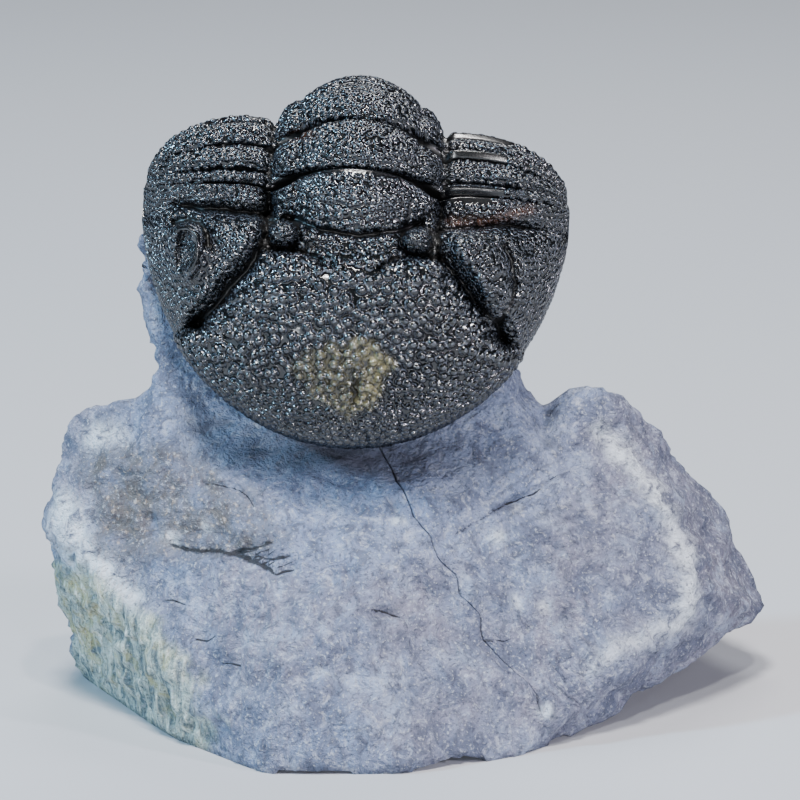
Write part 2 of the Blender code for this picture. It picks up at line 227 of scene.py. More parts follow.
def round_spots(across, below, spots):
    """Sum of bells about places of the picture, each given as across, below and half width."""
    total = 0.0
    for x, y, size in spots:
        total = total + bell(np.hypot(across - x, below - y), size)
    return total


def lobe_arch(x):
    """Arch of the axial lobe: 1 - (x / half width)^2, and 0 outside the axial furrows."""
    return np.clip(1.0 - (x / LOBE_HALF_WIDTH) ** 2, 0.0, 1.0)


def section_height(x):
    """Height of the thorax above the curl axis: flat pleurae with elliptic ends, and the axial lobe."""
    outward = np.clip((np.abs(x) - PLEURA_FLAT) / (HALF_WIDTH + 0.05 - PLEURA_FLAT), 0.0, 1.0)
    flat = PLEURA_HEIGHT + LEFT_EXTRA * ramp(-x, 4.0, 10.0)
    return flat * np.sqrt(1.0 - outward ** 2) + LOBE_HEIGHT * lobe_arch(x)


def slide(step):
    """How far the curl axis has moved down the pedestal: 0 at first, then a fixed length a step."""
    return SLIDE_STEP * SLIDE_EASE * np.log1p(np.exp((step - SLIDE_START) / SLIDE_EASE))


def rim_turn(x):
    """Turn of the rims of the rings, in degrees: up along the lobe's arch, and down at its two ends."""
    return RIM_ARCH * lobe_arch(x) - RIM_DROOP * bell(np.abs(x) - 6.3, 1.6)


def curl(step, x):
    """Angle about the curl axis, in radians.

    In degrees it is neck + curl · tanh(rate · step) + rim turn · exp(-1.5 · |step|).
    """
    degrees = NECK_ANGLE + CURL_ANGLE * np.tanh(CURL_RATE * step)
    return np.radians(degrees + rim_turn(x) * np.exp(-1.5 * np.abs(step)))


def width_scale(down):
    """Width of the body over its width at the neck: 1 - 0.010 · down - 0.0006 · down^2."""
    return 1.0 - 0.010 * down - 0.0006 * down ** 2


def height_scale(down):
    """Height of the body over its height at the neck: 1 - 0.011 · down."""
    return 1.0 - 0.011 * down


def along_curl(x, step, section_x, height):
    """Point over the moving curl axis: slide · direction + height · (sin, cos) of the curl's angle."""
    down = slide(step)
    angle = curl(step, section_x)
    v = SLIDE_DIRECTION[0] * down + height * np.sin(angle)
    w = SLIDE_DIRECTION[1] * down + height * np.cos(angle)
    return to_stone(x, v, w)


def place_on_body(x, step, rise):
    """Point of a tergite: a distance across at full width, a step, and a rise above the section."""
    down = slide(step)
    height = section_height(x) * height_scale(down) + rise
    return along_curl(x * width_scale(down), step, x, height)


def place_on_tail(x, step, rise):
    """The same for the tail shield, whose distance across is true and not a share of the width."""
    down = slide(step)
    section_x = np.clip(x / width_scale(down), -HALF_WIDTH, HALF_WIDTH)
    height = np.maximum(section_height(section_x) * height_scale(down), 2.6) + rise
    return along_curl(x, step, section_x, height)


def outward_normals(grid, closed):
    """Normals of a grid of points: the cross product of the two directions along the grid."""
    along = np.gradient(grid, axis=0)
    if closed:
        across = (np.roll(grid, -1, axis=1) - np.roll(grid, 1, axis=1)) * 0.5
    else:
        across = np.gradient(grid, axis=1)
    normals = np.cross(along, across)
    return normals / np.maximum(np.linalg.norm(normals, axis=-1, keepdims=True), 1e-9)


def granules(grid, spacing, seed):
    """Round granules strewn over a grid of points, as (distance from a centre over radius, radius).

    Points of the grid are tried as centres in a fixed random order, and one is kept when it stands
    at least 0.78 of the wanted spacing from every centre kept before. The share is 0 at a centre,
    1 at the foot of a granule and 2 on smooth shell, and where two granules meet the smaller counts.
    """
    random = np.random.default_rng(seed)
    rows, columns = spacing.shape
    pitch_along = np.linalg.norm(np.diff(grid, axis=0, append=grid[-1:]), axis=-1) + 1e-3
    pitch_across = np.linalg.norm(np.diff(grid, axis=1, append=grid[:, -1:]), axis=-1) + 1e-3
    taken = spacing < 0.1
    share = np.full(spacing.shape, 2.0)
    width = np.zeros(spacing.shape)
    order = random.permutation(rows * columns)
    sizes = random.uniform(*GRANULE_SIZES, rows * columns)
    flat_taken = taken.reshape(-1)
    for place in order[~flat_taken[order]]:
        if flat_taken[place]:
            continue
        i, j = divmod(int(place), columns)
        reach = spacing[i, j]
        di = min(int(reach / pitch_along[i, j]) + 2, GRANULE_WINDOW)
        dj = min(int(reach / pitch_across[i, j]) + 2, GRANULE_WINDOW)
        window = (slice(max(i - di, 0), i + di + 1), slice(max(j - dj, 0), j + dj + 1))
        distance = np.linalg.norm(grid[window] - grid[i, j], axis=-1)
        taken[window] |= distance < GRANULE_GAP * reach
        radius = GRANULE_RADIUS * reach * sizes[place]
        nearer = distance / radius < share[window]
        share[window] = np.where(nearer, distance / radius, share[window])
        width[window] = np.where(nearer, radius, width[window])
    return share, width


def raise_granules(place, normals, share, width, height):
    """Points moved out along their normals by height · radius · (1 - share^2)^0.5."""
    dome = np.sqrt(np.clip(1.0 - share ** 2, 0.0, 1.0))
    return place + normals * (np.asarray(height) * width * dome)[..., None]


def granule_mask(share):
    """The share turned round for the material: 1.6 at a centre, 0.6 at the foot, 0 on smooth shell."""
    return np.clip(GRANULE_PEAK - share, 0.0, GRANULE_PEAK)


def closed_piece(name, grid, ends, masks):
    """A closed mesh from closed loops of points: squares between loops, and a fan at each end.

    masks holds one number a point for each named attribute, which the materials read. Loops past
    the columns of a mask get 0.
    """
    rows, columns = grid.shape[:2]
    points = np.concatenate((grid.reshape(-1, 3), np.array(ends))) * MM
    index = np.arange(rows * columns).reshape(rows, columns)
    after = np.roll(index, -1, axis=1)
    squares = np.stack((index[:-1], after[:-1], after[1:], index[1:]), axis=-1).reshape(-1, 4)
    first = np.stack((index[0], np.full(columns, rows * columns), after[0]), axis=-1)
    last = np.stack((index[-1], after[-1], np.full(columns, rows * columns + 1)), axis=-1)
    volume = 0.0
    for a, b, c in ((0, 1, 2), (0, 2, 3)):
        volume += np.sum(points[squares[:, a]] * np.cross(points[squares[:, b]], points[squares[:, c]]))
    if volume < 0.0:
        squares, first, last = squares[:, ::-1], first[:, ::-1], last[:, ::-1]
    corners = np.concatenate((squares.reshape(-1), first.reshape(-1), last.reshape(-1)))
    sizes = np.concatenate((np.full(len(squares), 4), np.full(len(first) + len(last), 3)))
    mesh = bpy.data.meshes.new(name)
    mesh.vertices.add(len(points))
    mesh.vertices.foreach_set("co", points.reshape(-1))
    mesh.loops.add(len(corners))
    mesh.loops.foreach_set("vertex_index", corners.astype(np.int32))
    mesh.polygons.add(len(sizes))
    mesh.polygons.foreach_set("loop_start", (np.cumsum(sizes) - sizes).astype(np.int32))
    mesh.polygons.foreach_set("use_smooth", np.ones(len(sizes), dtype=bool))
    mesh.update(calc_edges=True)
    for mask_name, values in masks.items():
        attribute = mesh.attributes.new(mask_name, "FLOAT", "POINT")
        padded = np.pad(values, ((0, 0), (0, columns - values.shape[1])))
        flat = np.concatenate((padded.reshape(-1), np.zeros(2)))
        attribute.data.foreach_set("value", flat.astype(np.float32))
    mesh.validate()
    piece = bpy.data.objects.new(name, mesh)
    bpy.context.scene.collection.objects.link(piece)
    return piece


def head_base(x, angle):
    """Smooth form of the head, superellipse in section: (forward^n + downward^n)^(-1/n)."""
    narrowing = np.sqrt(np.clip(1.0 - (x / HALF_WIDTH) ** 2, 0.0, 1.0))
    forward = np.abs(np.cos(angle)) / HEAD_DEPTH
    downward = np.abs(np.sin(angle)) / HEAD_DROP
    reach = (forward ** HEAD_FULLNESS + downward ** HEAD_FULLNESS) ** (-1.0 / HEAD_FULLNESS)
    return narrowing * reach * np.sin(angle), narrowing * reach * np.cos(angle)


def glabella_inside(side, v):
    """How far inside the outline of the glabella: above 0 within its five sides."""
    outline = 7.0 + np.where(v > -10.8, 0.83 * (-4.6 - v), 0.83 * 6.2 + 2.2 * (-10.8 - v))
    return np.minimum(0.75 * (outline - side), -4.4 - v)


BORDER_FURROW = (
    (-15.4, -13.4, -9.7, -6.0, 0.0, 6.7, 9.1, 10.8, 13.4, 15.4),
    (-1.30, -1.37, -1.59, -1.90, -2.20, -2.47, -2.02, -1.77, -1.55, -1.80),
)
AXIAL_LEFT = (
    (-7.1, 3.0), (-7.2, -1.0), (-7.4, -3.9), (-8.0, -5.6), (-9.2, -7.2), (-10.4, -8.8),
    (-11.8, -10.4), (-12.3, -11.1),
)
AXIAL_RIGHT = (
    (7.1, 3.0), (7.0, -1.0), (6.8, -4.3), (8.6, -6.2), (10.0, -7.7), (11.3, -9.1),
    (12.4, -10.1), (12.7, -10.9),
)
GLABELLA_FURROW = ((1.0, -6.1), (2.2, -5.7), (3.4, -5.1), (4.6, -4.7), (6.9, -4.75))
LOWER_FURROW = ((12.5, -10.8), (14.4, -13.2))
RING_END_FURROW = ((-4.9, 1.2), (-4.6, -2.6))
NODES = ((-5.8, -3.35), (5.2, -3.3))
EYE_RIM = (
    (-15.2, -3.9), (-14.4, -3.35), (-13.6, -3.3), (-12.9, -3.7), (-12.65, -4.6),
    (-12.75, -5.8), (-13.3, -7.0),
)
TONGUE = ((9.6, -3.9), (10.5, -4.6), (11.4, -6.4), (12.1, -8.2))
TRENCH = ((-14.9, -2.85), (-13.8, -2.5), (-12.7, -2.75), (-12.0, -3.6), (-11.9, -4.6))
LID = ((12.2, -3.3), (13.0, -4.6), (13.4, -6.4), (13.1, -8.0), (12.4, -9.4))


def head_furrows(x, v):
    """Depth of the furrows of the head, in mm: wide gentle valleys with a narrow slit in each."""
    side = np.abs(x)
    left = ramp(-x, -0.5, 0.5)
    wander = 0.12 * np.sin(1.9 * x + 0.6) + 0.08 * np.sin(4.3 * x)
    border_line = v - np.interp(x, *BORDER_FURROW) + 0.6 * wander
    border = (0.5 * bell(border_line, 0.6 + 0.35 * left) + 0.95 * bell(border_line, 0.19 + 0.11 * left))
    border *= ramp(side, 6.2, 7.0) * ramp(side, 16.4, 13.6)
    occipital_line = v + 3.15 - 0.045 * x ** 2 + 0.4 * wander
    occipital = (0.6 * bell(occipital_line, 0.6) + 0.8 * bell(occipital_line, 0.25)) * ramp(side, 6.2, 5.4)
    glabella_line = line_distance(side, v, GLABELLA_FURROW)
    glabella = (0.7 * bell(glabella_line, 0.55) + 0.7 * bell(glabella_line, 0.26)) * ramp(side, 0.6, 3.2)
    sway = 0.10 * np.sin(2.3 * v + 1.0) + 0.05 * np.sin(6.1 * v)
    axial_left = line_distance(x + sway, v, AXIAL_LEFT)
    axial_right = line_distance(x + sway, v, AXIAL_RIGHT)
    widening = 0.42 + 0.36 * ramp(-v, 4.6, 7.5)
    axial = left * (1.15 * bell(axial_left, widening) + 0.3 * bell(axial_left, 0.3))
    axial += (1.0 - left) * (0.75 * bell(axial_right, 0.55) + 0.5 * bell(axial_right, 0.22))
    lower = bell(line_distance(side, v, LOWER_FURROW), 0.35)
    pit = bell(np.hypot(side - 12.6, v + 11.0), 0.7)
    lid = bell(line_distance(x, v, LID), 0.38) * (1.0 - left)
    trench = bell(line_distance(x, v, TRENCH), 0.40) * left
    ring = 0.0
    for centre in NODES:
        ring = ring + bell(np.hypot(x - centre[0], v - centre[1]) - 1.3, 0.26)
    ring_end = bell(line_distance(x, v, RING_END_FURROW), 0.22)
    return (border + occipital + glabella + axial + 0.5 * lower
            + 0.9 * pit + 0.9 * ring + 1.05 * lid + 1.25 * trench + 0.2 * ring_end)


def eye_relief(x, v):
    """Relief of the eyes. The left one is a mound with a raised crescent about a smooth hollow, the
    right one a tongue along a line, with a furrow on its outer side and a hollow behind it."""
    left = ramp(-x, 0.0, 1.0)
    mound = np.hypot((x + 13.5) / 2.1, (v + 5.1) / 3.0)
    rim = bell(line_distance(x, v, EYE_RIM), 0.32) * ramp(x, -15.6, -14.3)
    eye = 0.95 * ramp(mound, 1.2, 0.5) * ramp(x, -16.4, -14.4) + 0.95 * rim
    eye -= 0.8 * ramp(eye_hollow(x, v), 1.25, 0.7)
    tongue = line_distance(x, v, TONGUE)
    hollow = bell(np.hypot((x - 14.1) / 1.9, (v + 3.2) / 1.15), 1.0)
    return left * eye + (1.0 - left) * (1.35 * ramp(tongue, 1.8, 0.7) - 0.8 * hollow)


def eye_hollow(x, v):
    """Distance from the middle of the left eye's hollow over its radius, which is a curved bean."""
    bend = 0.10 * (v + 5.0) ** 2
    return np.hypot((x + 13.7 + bend) / 0.8, (v + 5.05) / 1.6)


def head_relief(x, v, w):
    """Relief of the head along w: neck ring, glabella, cheeks, nodes and eyes, less the furrows."""
    side = np.abs(x)
    swell = 0.35 * lobe_arch(x) * bell(v + 0.3, 2.2)
    thorax = np.sqrt(np.clip(section_height(x) ** 2 - v ** 2, 0.0, None))
    relief = (thorax + swell - w) * ramp(v, -3.3, -1.2)
    relief += 0.6 * bell(np.hypot((side - 6.1) / 1.1, (v + 0.3) / 1.5), 1.0)
    relief += 2.9 * (1.0 - np.exp(-np.clip(glabella_inside(side, v), 0.0, None) / 1.9))
    cheek = np.minimum(0.75 * (side - 7.2 - 0.83 * np.clip(-4.2 - v, 0.0, None)), -2.0 - v)
    swelling = 1.0 - np.exp(-np.clip(cheek, 0.0, None) / 0.8)
    relief += 0.75 * swelling * ramp(side, 16.5, 12.0) * ramp(v, -13.0, -9.0)
    relief += 0.16 * bell(v + 0.75, 0.6) * ramp(side, 6.6, 7.6) * ramp(side, 15.0, 12.5)
    relief -= 0.7 * lobe_arch(x * 0.95) * bell(v + 4.1, 0.9)
    for centre in NODES:
        away = np.hypot(x - centre[0], v - centre[1]) / 1.2
        relief += 1.25 * np.sqrt(np.clip(1.0 - away ** 2, 0.0, None))
    edge = np.where(x < 0.0, line_distance(x, v, AXIAL_LEFT), line_distance(x, v, AXIAL_RIGHT))
    beyond = side - 7.6 - 0.83 * np.clip(-4.2 - v, 0.0, None)
    relief += 0.4 * bell(edge - 1.45, 0.5) * ramp(beyond, 0.0, 0.8) * ramp(v, -1.6, -3.0)
    relief += eye_relief(x, v)
    return relief - head_furrows(x, v)


def head_granule_spacing(x, v):
    """Wanted distance between granules over the head, in mm; 0 where the shell is smooth."""
    side = np.abs(x)
    inside = glabella_inside(side, v)
    glabella = 0.96 - 0.26 * ramp(v, -11.5, -17.5) - 0.16 * ramp(inside, 2.2, 0.2)
    cheek = 0.68 - 0.14 * ramp(side, 13.0, 16.5)
    ring = 0.68 - 0.14 * ramp(v, -1.5, 0.4)
    spacing = np.where(inside > 0.1, glabella, cheek)
    spacing = np.where((side < 6.6) & (v > -4.4), ring, spacing)
    spacing = np.where((side >= 6.6) & (v > -1.9), 0.44, spacing)
    for centre in NODES:
        spacing = np.where(np.hypot(x - centre[0], v - centre[1]) < 1.3, 0.45, spacing)
    spacing = np.where((v > 0.9 - 0.03 * side ** 2) & (side < 6.4), 0.38, spacing)
    spacing = np.where(np.hypot((x - 14.1) / 1.7, (v + 3.2) / 1.0) < 1.0, 0.34, spacing)
    bare = head_furrows(x, v) > 0.95
    bare |= (v > -0.10) & (x > 6.8) & (x < 11.6 - 1.2 * np.abs(v) + 0.7 * np.sin(5.0 * v))
    bare |= (v > 1.85 - 0.03 * side ** 2) & (side < 6.4)
    spacing = np.where((eye_hollow(x, v) < 1.1) & (x < 0.0), 0.30, spacing)
    bare |= (line_distance(x, v, EYE_RIM) < 0.22) & (x < 0.0)
    bare &= ~((side > 6.3) & (side < 7.9) & (v > -4.8) & (v < -0.4))
    return np.where(bare, 0.0, spacing)


def make_cephalon(columns=356, rows=252):
    """The head shield: a grid of places across and angles from neck to chin, closed behind.

    Relief is added along w and fades out at the edge. The granules stand along the normals.
    """
    even = np.linspace(-0.985, 0.985, columns)
    x = (HALF_WIDTH * (0.6 * even + 0.4 * np.sin(0.5 * math.pi * even)))[:, None]
    fine = np.linspace(0.0, 1.0, 2000)
    top = NECK_ANGLE + rim_turn(x)
    middle_angle = np.radians(NECK_ANGLE + RIM_ARCH + (CHIN_ANGLE - NECK_ANGLE - RIM_ARCH) * fine)
    middle_v, middle_w = head_base(0.0, middle_angle)
    length = np.concatenate(((0.0,), np.cumsum(np.hypot(np.diff(middle_v), np.diff(middle_w)))))
    down = np.interp(np.linspace(0.0, length[-1], rows), length, fine)[None, :]
    angle = np.radians(top + (CHIN_ANGLE - top) * down)
    v, w = head_base(x, angle)
    fade = ramp(w, -0.2, 3.2)
    w = w + head_relief(x, v, w) * fade
    front = to_stone(x, v, w)
    normals = outward_normals(front, closed=False)
    if np.sum(normals[..., 1]) > 0.0:
        normals = -normals
    across, below = picture_place(front)
    crack = chin_crack(across, below)
    front = front - normals * (0.35 * crack)[..., None]
    spacing = np.where(crack > 0.3, 0.0, head_granule_spacing(x, v))
    share, width = granules(front, spacing, 11)
    on_glabella = ramp(glabella_inside(np.abs(x), v), -0.3, 0.5)
    height = 0.55 + (0.4 + 0.3 * ramp(v, -10.0, -16.0)) * on_glabella
    front = raise_granules(front, normals, share, width, height)

    section = section_height(x)
    thin = np.minimum(1.0, section / 5.0)
    back = w[:, -1:]
    behind = [(v[:, -1:] * part, back) for part in (0.66, 0.33, 0.05)]
    core = np.maximum(section - (SHELL + CORE_ROOM) * thin, 0.25 * section)
    for degrees in (97.0, 72.0, 46.0, 20.0, -6.5):
        turn = math.radians(degrees)
        behind.append((core * math.sin(turn), np.maximum(core * math.cos(turn), back)))
    for turn, depth in ((np.radians(-5.5), 0.8), (np.radians(top), 0.6), (np.radians(top), 0.25)):
        behind.append(((section - depth * thin) * np.sin(turn), (section - depth * thin) * np.cos(turn)))
    rest = [to_stone(x, v_row, w_row) for v_row, w_row in behind]
    loops = np.concatenate([front] + rest, axis=1)
    ends = [to_stone(side * HALF_WIDTH * 0.999, 0.1, 0.0) for side in (-1.0, 1.0)]

    masks = {
        "granule": granule_mask(share),
        # The furrow mask paints shade into the furrows, and carries the chin crack's own dark line
        "furrow": np.clip(ramp(head_furrows(x, v), 0.6, 1.15) * fade + crack, 0.0, 1.0),
        "ochre": ochre_stain(across, below),
        "rust": rust_tinge(across, below),
    }
    return closed_piece("head_shield", loops, ends, masks)


# Marks on the fossil, in pixels of the picture
STAIN_CENTRE = (345.0, 374.0)
STAIN_HALF_SIZES = (47.0, 37.0)
STAIN_WAVES = ((3.0, 0.10, 0.7), (7.0, 0.07, 0.0), (11.0, 0.05, 1.0))
CHIN_CRACK_ACROSS = 353.5
CHIN_CRACK_TOP = 366.0
CHIN_CRACK_FOOT = 408.0
RUST_LINE = ((452.0, 222.0), (490.0, 221.0), (530.0, 209.0))
RING_RUST = (302.0, 134.0)
RING_RUST_HALF_SIZES = (12.0, 6.0)


def ochre_stain(across, below):
    """Ochre stain on the glabella: an uneven ring about one place, strongest on its right side."""
    turn = np.arctan2(below - STAIN_CENTRE[1], across - STAIN_CENTRE[0])
    reach = oval(across, below, STAIN_CENTRE, STAIN_HALF_SIZES)
    for waves, height, start in STAIN_WAVES:
        reach = reach + height * np.sin(waves * turn + start)
    side = 0.5 + 0.5 * np.cos(turn - 0.1)
    return ramp(reach, 1.10, 0.80) * (0.38 + 0.72 * side ** 2 * ramp(reach, 0.35, 0.75))


def chin_crack(across, below):
    """Fine upright crack in the stained part of the glabella."""
    wander = 2.0 * np.sin(0.45 * below)
    line = bell((across - CHIN_CRACK_ACROSS - wander) / PIXELS_PER_MM, 0.16)
    upper_end = ramp(below, CHIN_CRACK_TOP, CHIN_CRACK_TOP + 10.0)
    return line * upper_end * ramp(below, CHIN_CRACK_FOOT, CHIN_CRACK_FOOT - 8.0)


def rust_tinge(across, below):
    """Rusty tinge along the border behind the right cheek."""
    return 0.22 * bell(line_distance(across, below, RUST_LINE), 5.0)


def ring_wall(x):
    """Step at which the wall in front of a ring stands: 0.085 + 0.16 · (x / 5.2)^2."""
    return 0.085 + 0.16 * (x / 5.2) ** 2


def ring_profile(x, step, half_ring):
    """Rise of a ring: a low half ring in front, a steep wall, and the granulated lobe behind it."""
    knots = (-0.24, 0.0, 0.15, 0.30, 0.50, 0.76, 0.93, 0.985)
    rises = (-0.15, -0.10, 0.14, 0.52, 0.76, 0.73, 0.48, 0.36)
    wall = ring_wall(x)
    behind = ramp(step, wall - 0.035, wall + 0.045)
    return half_ring + (smooth_table(step, knots, rises) - half_ring) * behind


def pleura_profile(step, furrow):
    """Rise of a pleura: a smooth front band, the pleural furrow and the hind band with its lip."""
    knots = (-0.24, -0.03, 0.03, 0.10, 0.22, 0.34, 0.44, 0.62, 0.90, 0.985)
    rises = (-1.35, -0.95, -0.55, 0.02, 0.42, -0.02, -0.15, 0.26, 0.02, -0.12)
    groove = 0.75 * bell(step - 0.385, 0.030) + 0.22 * bell(step - 0.40, 0.08)
    lip = 0.12 * bell(step - 0.972, 0.022) + 0.12 * bell(step - 0.335, 0.018)
    return smooth_table(step, knots, rises) - groove * furrow + lip * furrow


def smooth_table(value, knots, rises):
    """Values of a table, blended by rounded steps from knot to knot over one fine run."""
    fine = np.linspace(knots[0], knots[-1], 1200)
    run = np.interp(fine, knots, rises)
    kernel = np.hanning(61)
    padded = np.pad(run, 30, mode="edge")
    return np.interp(value, fine, np.convolve(padded, kernel / kernel.sum(), mode="valid"))


def make_segment(number, columns, rows):
    """One tergite: closed loops of flange, outer face, free rim and inside, from side to side.

    The outer face is the section's height plus a blend of the ring's and the pleura's profiles.
    """
    even = np.linspace(-1.0, 1.0, columns)
    x = (HALF_WIDTH * 0.978 * (0.7 * even + 0.3 * np.sin(0.5 * math.pi * even)))[:, None]
    side = np.abs(x)
    lobe = lobe_arch(x) ** 0.5
    thin = np.clip(section_height(x) / 5.0, 0.15, 1.0)
    furrow = ramp(side, 15.6, 12.2) * ramp(side, 6.9, 8.0)
    hidden = np.linspace(-0.24, -0.02, 5)[:-1]
    part = np.concatenate((hidden, np.linspace(-0.02, 0.985, rows)))[None, :]
    fold = np.clip(part, -0.05, 1.0)
    on_ring = ring_profile(x, part, -1.3 if number < 2 else -0.9)
    on_pleura = pleura_profile(part, furrow)
    rise = on_pleura + (on_ring - on_pleura) * lobe
    rise = np.where(part < 0.1, rise * thin, rise)
    rise -= 0.55 * bell(side - 7.2, 0.36) * ramp(fold, 0.0, 0.3)
    knob = 0.65 if number == 0 else 0.35
    rise += knob * bell(np.hypot((side - 6.1) / 0.9, (part - 0.55) / 0.26), 1.0)
    rise -= 0.30 * bell(side - 4.95, 0.3) * ramp(part, 0.2, 0.4)
    rise -= 1.10 * bell(side - 5.9, 1.3) * ramp(part, 0.30, 0.08)
    place = place_on_body(x, number + part, rise)
    normals = outward_normals(place, closed=False)
    centre = place_on_body(x * 0.9, number + part, -4.0)
    facing = np.sum(normals * (place - centre), axis=-1, keepdims=True)
    normals = normals * np.sign(facing + 1e-12)

    fine_size = 0.54 if number < 2 else 0.56
    spacing = np.full(place.shape[:2], fine_size)
    wall = ring_wall(x)
    bare = (lobe > 0.1) & ((part < wall) | (part > 0.955))
    end = 12.6 - 5.0 * np.abs(part - 0.2) + 0.9 * lattice_noise(place, 0.8, 81)
    bare |= (lobe <= 0.1) & (side < end) & (x > 0.0) & ((part < 0.33) | (part > 0.94))
    bare |= (lobe <= 0.1) & (side < end) & (x < 0.0) & ((part < 0.12) | (part > 0.94))
    bare |= (part < 0.02) | (bell(part - 0.39, 0.05) * furrow > 0.4) | (part > 0.965)
    spacing = np.where(bare, 0.0, spacing)
    share, width = granules(place, spacing, 20 + number)
    place = raise_granules(place, normals, share, width, 0.5)

    lobe_rim = -0.50 * lobe - 0.42 * (1.0 - lobe)
    under = (
        (0.985, rise[:, -1:] * 0.5 + lobe_rim * 0.5 * thin),
        (0.97, lobe_rim * thin),
        (0.84, -0.72 * thin),
        (0.70, -0.85 * thin),
        (0.66, -SHELL * thin),
        (0.35, -SHELL * thin),
        (0.02, -SHELL * thin),
        (-0.20, -1.75 * thin),
    )
    inside = [place_on_body(x, number + at, depth) for at, depth in under]
    loops = np.concatenate([place] + inside, axis=1)
    ends = [place_on_body(sign * HALF_WIDTH * 0.986, number + 0.5, -0.3) for sign in (-1.0, 1.0)]
    across, below = picture_place(place)
    masks = {
        "granule": granule_mask(share),
        # The furrow mask paints shade where the surface lies low: the gaps between rings and the pleural
        # furrows
        "furrow": np.broadcast_to(ramp(-rise, 0.05, 0.50), share.shape),
        "ochre": np.zeros(share.shape),
        "rust": 0.15 * bell(oval(across, below, RING_RUST, RING_RUST_HALF_SIZES), 1.0),
    }
    return closed_piece(f"tergite_{number + 1:02d}", loops, ends, masks)


def make_pygidium(columns=230, rows=90):
    """The tail shield: a rounded plate with an axis of rings and ribs that fade towards its edge.

    Its length at a share across is (1 - share^2.2)^0.5, and its dome (1 - distance^3)^0.5.
    """
    even = np.linspace(-0.97, 0.97, columns)
    across = (even * (1.15 - 0.15 * even ** 2))[:, None]
    across = across / np.max(across) * 0.975
    x = across * TAIL_HALF_WIDTH
    length = np.sqrt(np.clip(1.0 - np.abs(across) ** 2.2, 0.0, None))
    thin = np.clip(section_height(x / width_scale(slide(SEGMENTS))) / 5.0, 0.15, 1.0)
    part = np.linspace(-0.03, 1.0, rows)[None, :]
    dome = np.sqrt(np.clip(1.0 - np.minimum(np.hypot(across, part * length), 1.0) ** 3, 0.0, None))
    axis_half = 4.9 * (1.0 - 0.55 * np.clip(part, 0.0, 1.0))
    lobe = np.clip(1.0 - (x / axis_half) ** 2, 0.0, 1.0) * ramp(part, 0.93, 0.75)
    rings = np.sin(part * 2.0 * math.pi * 7.5)
    ribs = np.sin((part * 6.5 + 0.25 * np.abs(across)) * 2.0 * math.pi)
    fade = ramp(part, 0.85, 0.3) * ramp(np.abs(across), 0.92, 0.6)
    rise = 0.1 - 1.2 * (1.0 - dome) + 0.45 * np.sqrt(lobe) * dome
    rise = rise + 0.16 * rings * np.sqrt(lobe) * fade
    rise = rise + 0.13 * ribs * (1.0 - np.sqrt(lobe)) * fade
    rise = rise - 0.25 * bell(np.abs(x) - axis_half, 0.35) * fade
    rise = np.where(part < 0.03, -1.1 * thin, rise)
    place = place_on_tail(x, SEGMENTS + TAIL_STEPS * part * length, rise)
    normals = outward_normals(place, closed=False)
    centre = place_on_tail(x * 0.9, SEGMENTS + TAIL_STEPS * part * length, -4.0)
    normals = normals * np.sign(np.sum(normals * (place - centre), axis=-1, keepdims=True) + 1e-12)
    spacing = np.where((part > 0.05) & (part < 0.98), 0.42, 0.0) * np.ones(place.shape[:2])
    share, width = granules(place, spacing, 41)
    place = raise_granules(place, normals, share, width, 0.5)
    inside = [
        place_on_tail(x, SEGMENTS + TAIL_STEPS * length * at, -1.9 * (thin + (1.0 - thin) * at))
        for at in (0.94, 0.5, 0.02)
    ]
    loops = np.concatenate([place] + inside, axis=1)
    ends = [place_on_tail(sign * TAIL_HALF_WIDTH * 0.985, SEGMENTS + 0.6, -1.2) for sign in (-1.0, 1.0)]
    empty = np.zeros(share.shape)
    masks = {"granule": granule_mask(share), "furrow": empty, "ochre": empty, "rust": empty}
    return closed_piece("tail_shield", loops, ends, masks)


def smooth_max(values, radius):
    """Largest of several distances, with rounded corners: radius · log of the sum of exponentials."""
    peak = np.max(values, axis=0)
    return peak + radius * np.log(np.sum(np.exp((values - peak) / radius), axis=0))


def smooth_union(first, second, radius):
    """Smaller of two distances, with a fillet: their blend, less radius · share · (1 - share)."""
    share = np.clip(0.5 + 0.5 * (second - first) / radius, 0.0, 1.0)
    return second + (first - second) * share - radius * share * (1.0 - share)


def cove_distance(points):
    """Height above the hollow that was worked out of the stone in front of the pedestal.

    Its floor is 23.7 + 0.4 · y, less 9.3e-5 · y^4 in front, and rises with the square of x.
    """
    x, y, z = points[..., 0], points[..., 1], points[..., 2]
    floor = 23.7 + 0.4 * y - 9.3e-5 * y ** 4 * (y < 0.0)
    return 0.8 * (z - floor - 0.012 * (x - COVE_MIDDLE) ** 2)


def block_distance(points):
    """Distance to the block of stone: its flat faces and the hollow in front."""
    rows = [points @ np.array(direction) - reach for direction, reach in STONE_FACES.values()]
    faces = smooth_max(np.array(rows), EDGE_ROUNDING)
    hollow = cove_distance(points)
    return -smooth_union(-faces, -hollow, 2.0)


def pedestal_distance(points):
    """Distance to the pedestal: flat behind the head, filling the curl, wider on the left."""
    x, v, w = to_body(points)
    narrowing = np.sqrt(np.clip(1.0 - (x / HALF_WIDTH) ** 2, 0.0, 1.0))
    front = w + 1.8 * narrowing + CLEARANCE
    scallop = 0.32 * np.abs(np.sin(1.25 * v + 0.8 * np.sin(0.9 * v))) + 0.2 * np.sin(0.55 * v)
    left = -x - (18.0 + scallop - 0.2 * np.clip(-v - 5.0, 0.0, None) - 1.5 * ramp(v, -4.0, -1.0))
    right = x - (14.0 + 0.22 * np.clip(v + 13.0, 0.0, None))
    along = v * SLIDE_DIRECTION[0] + w * SLIDE_DIRECTION[1]
    behind = w * SLIDE_DIRECTION[0] - v * SLIDE_DIRECTION[1]
    down = np.clip(along, 0.0, 26.0)
    from_axis = np.hypot(np.clip(behind, 0.0, None), np.clip(-along, 0.0, None))
    section = section_height(x / width_scale(down)) * height_scale(down)
    core = from_axis - np.maximum(section - SHELL - CORE_ROOM, 0.45)
    return smooth_max(np.array((front, left, right, core)), 0.4)


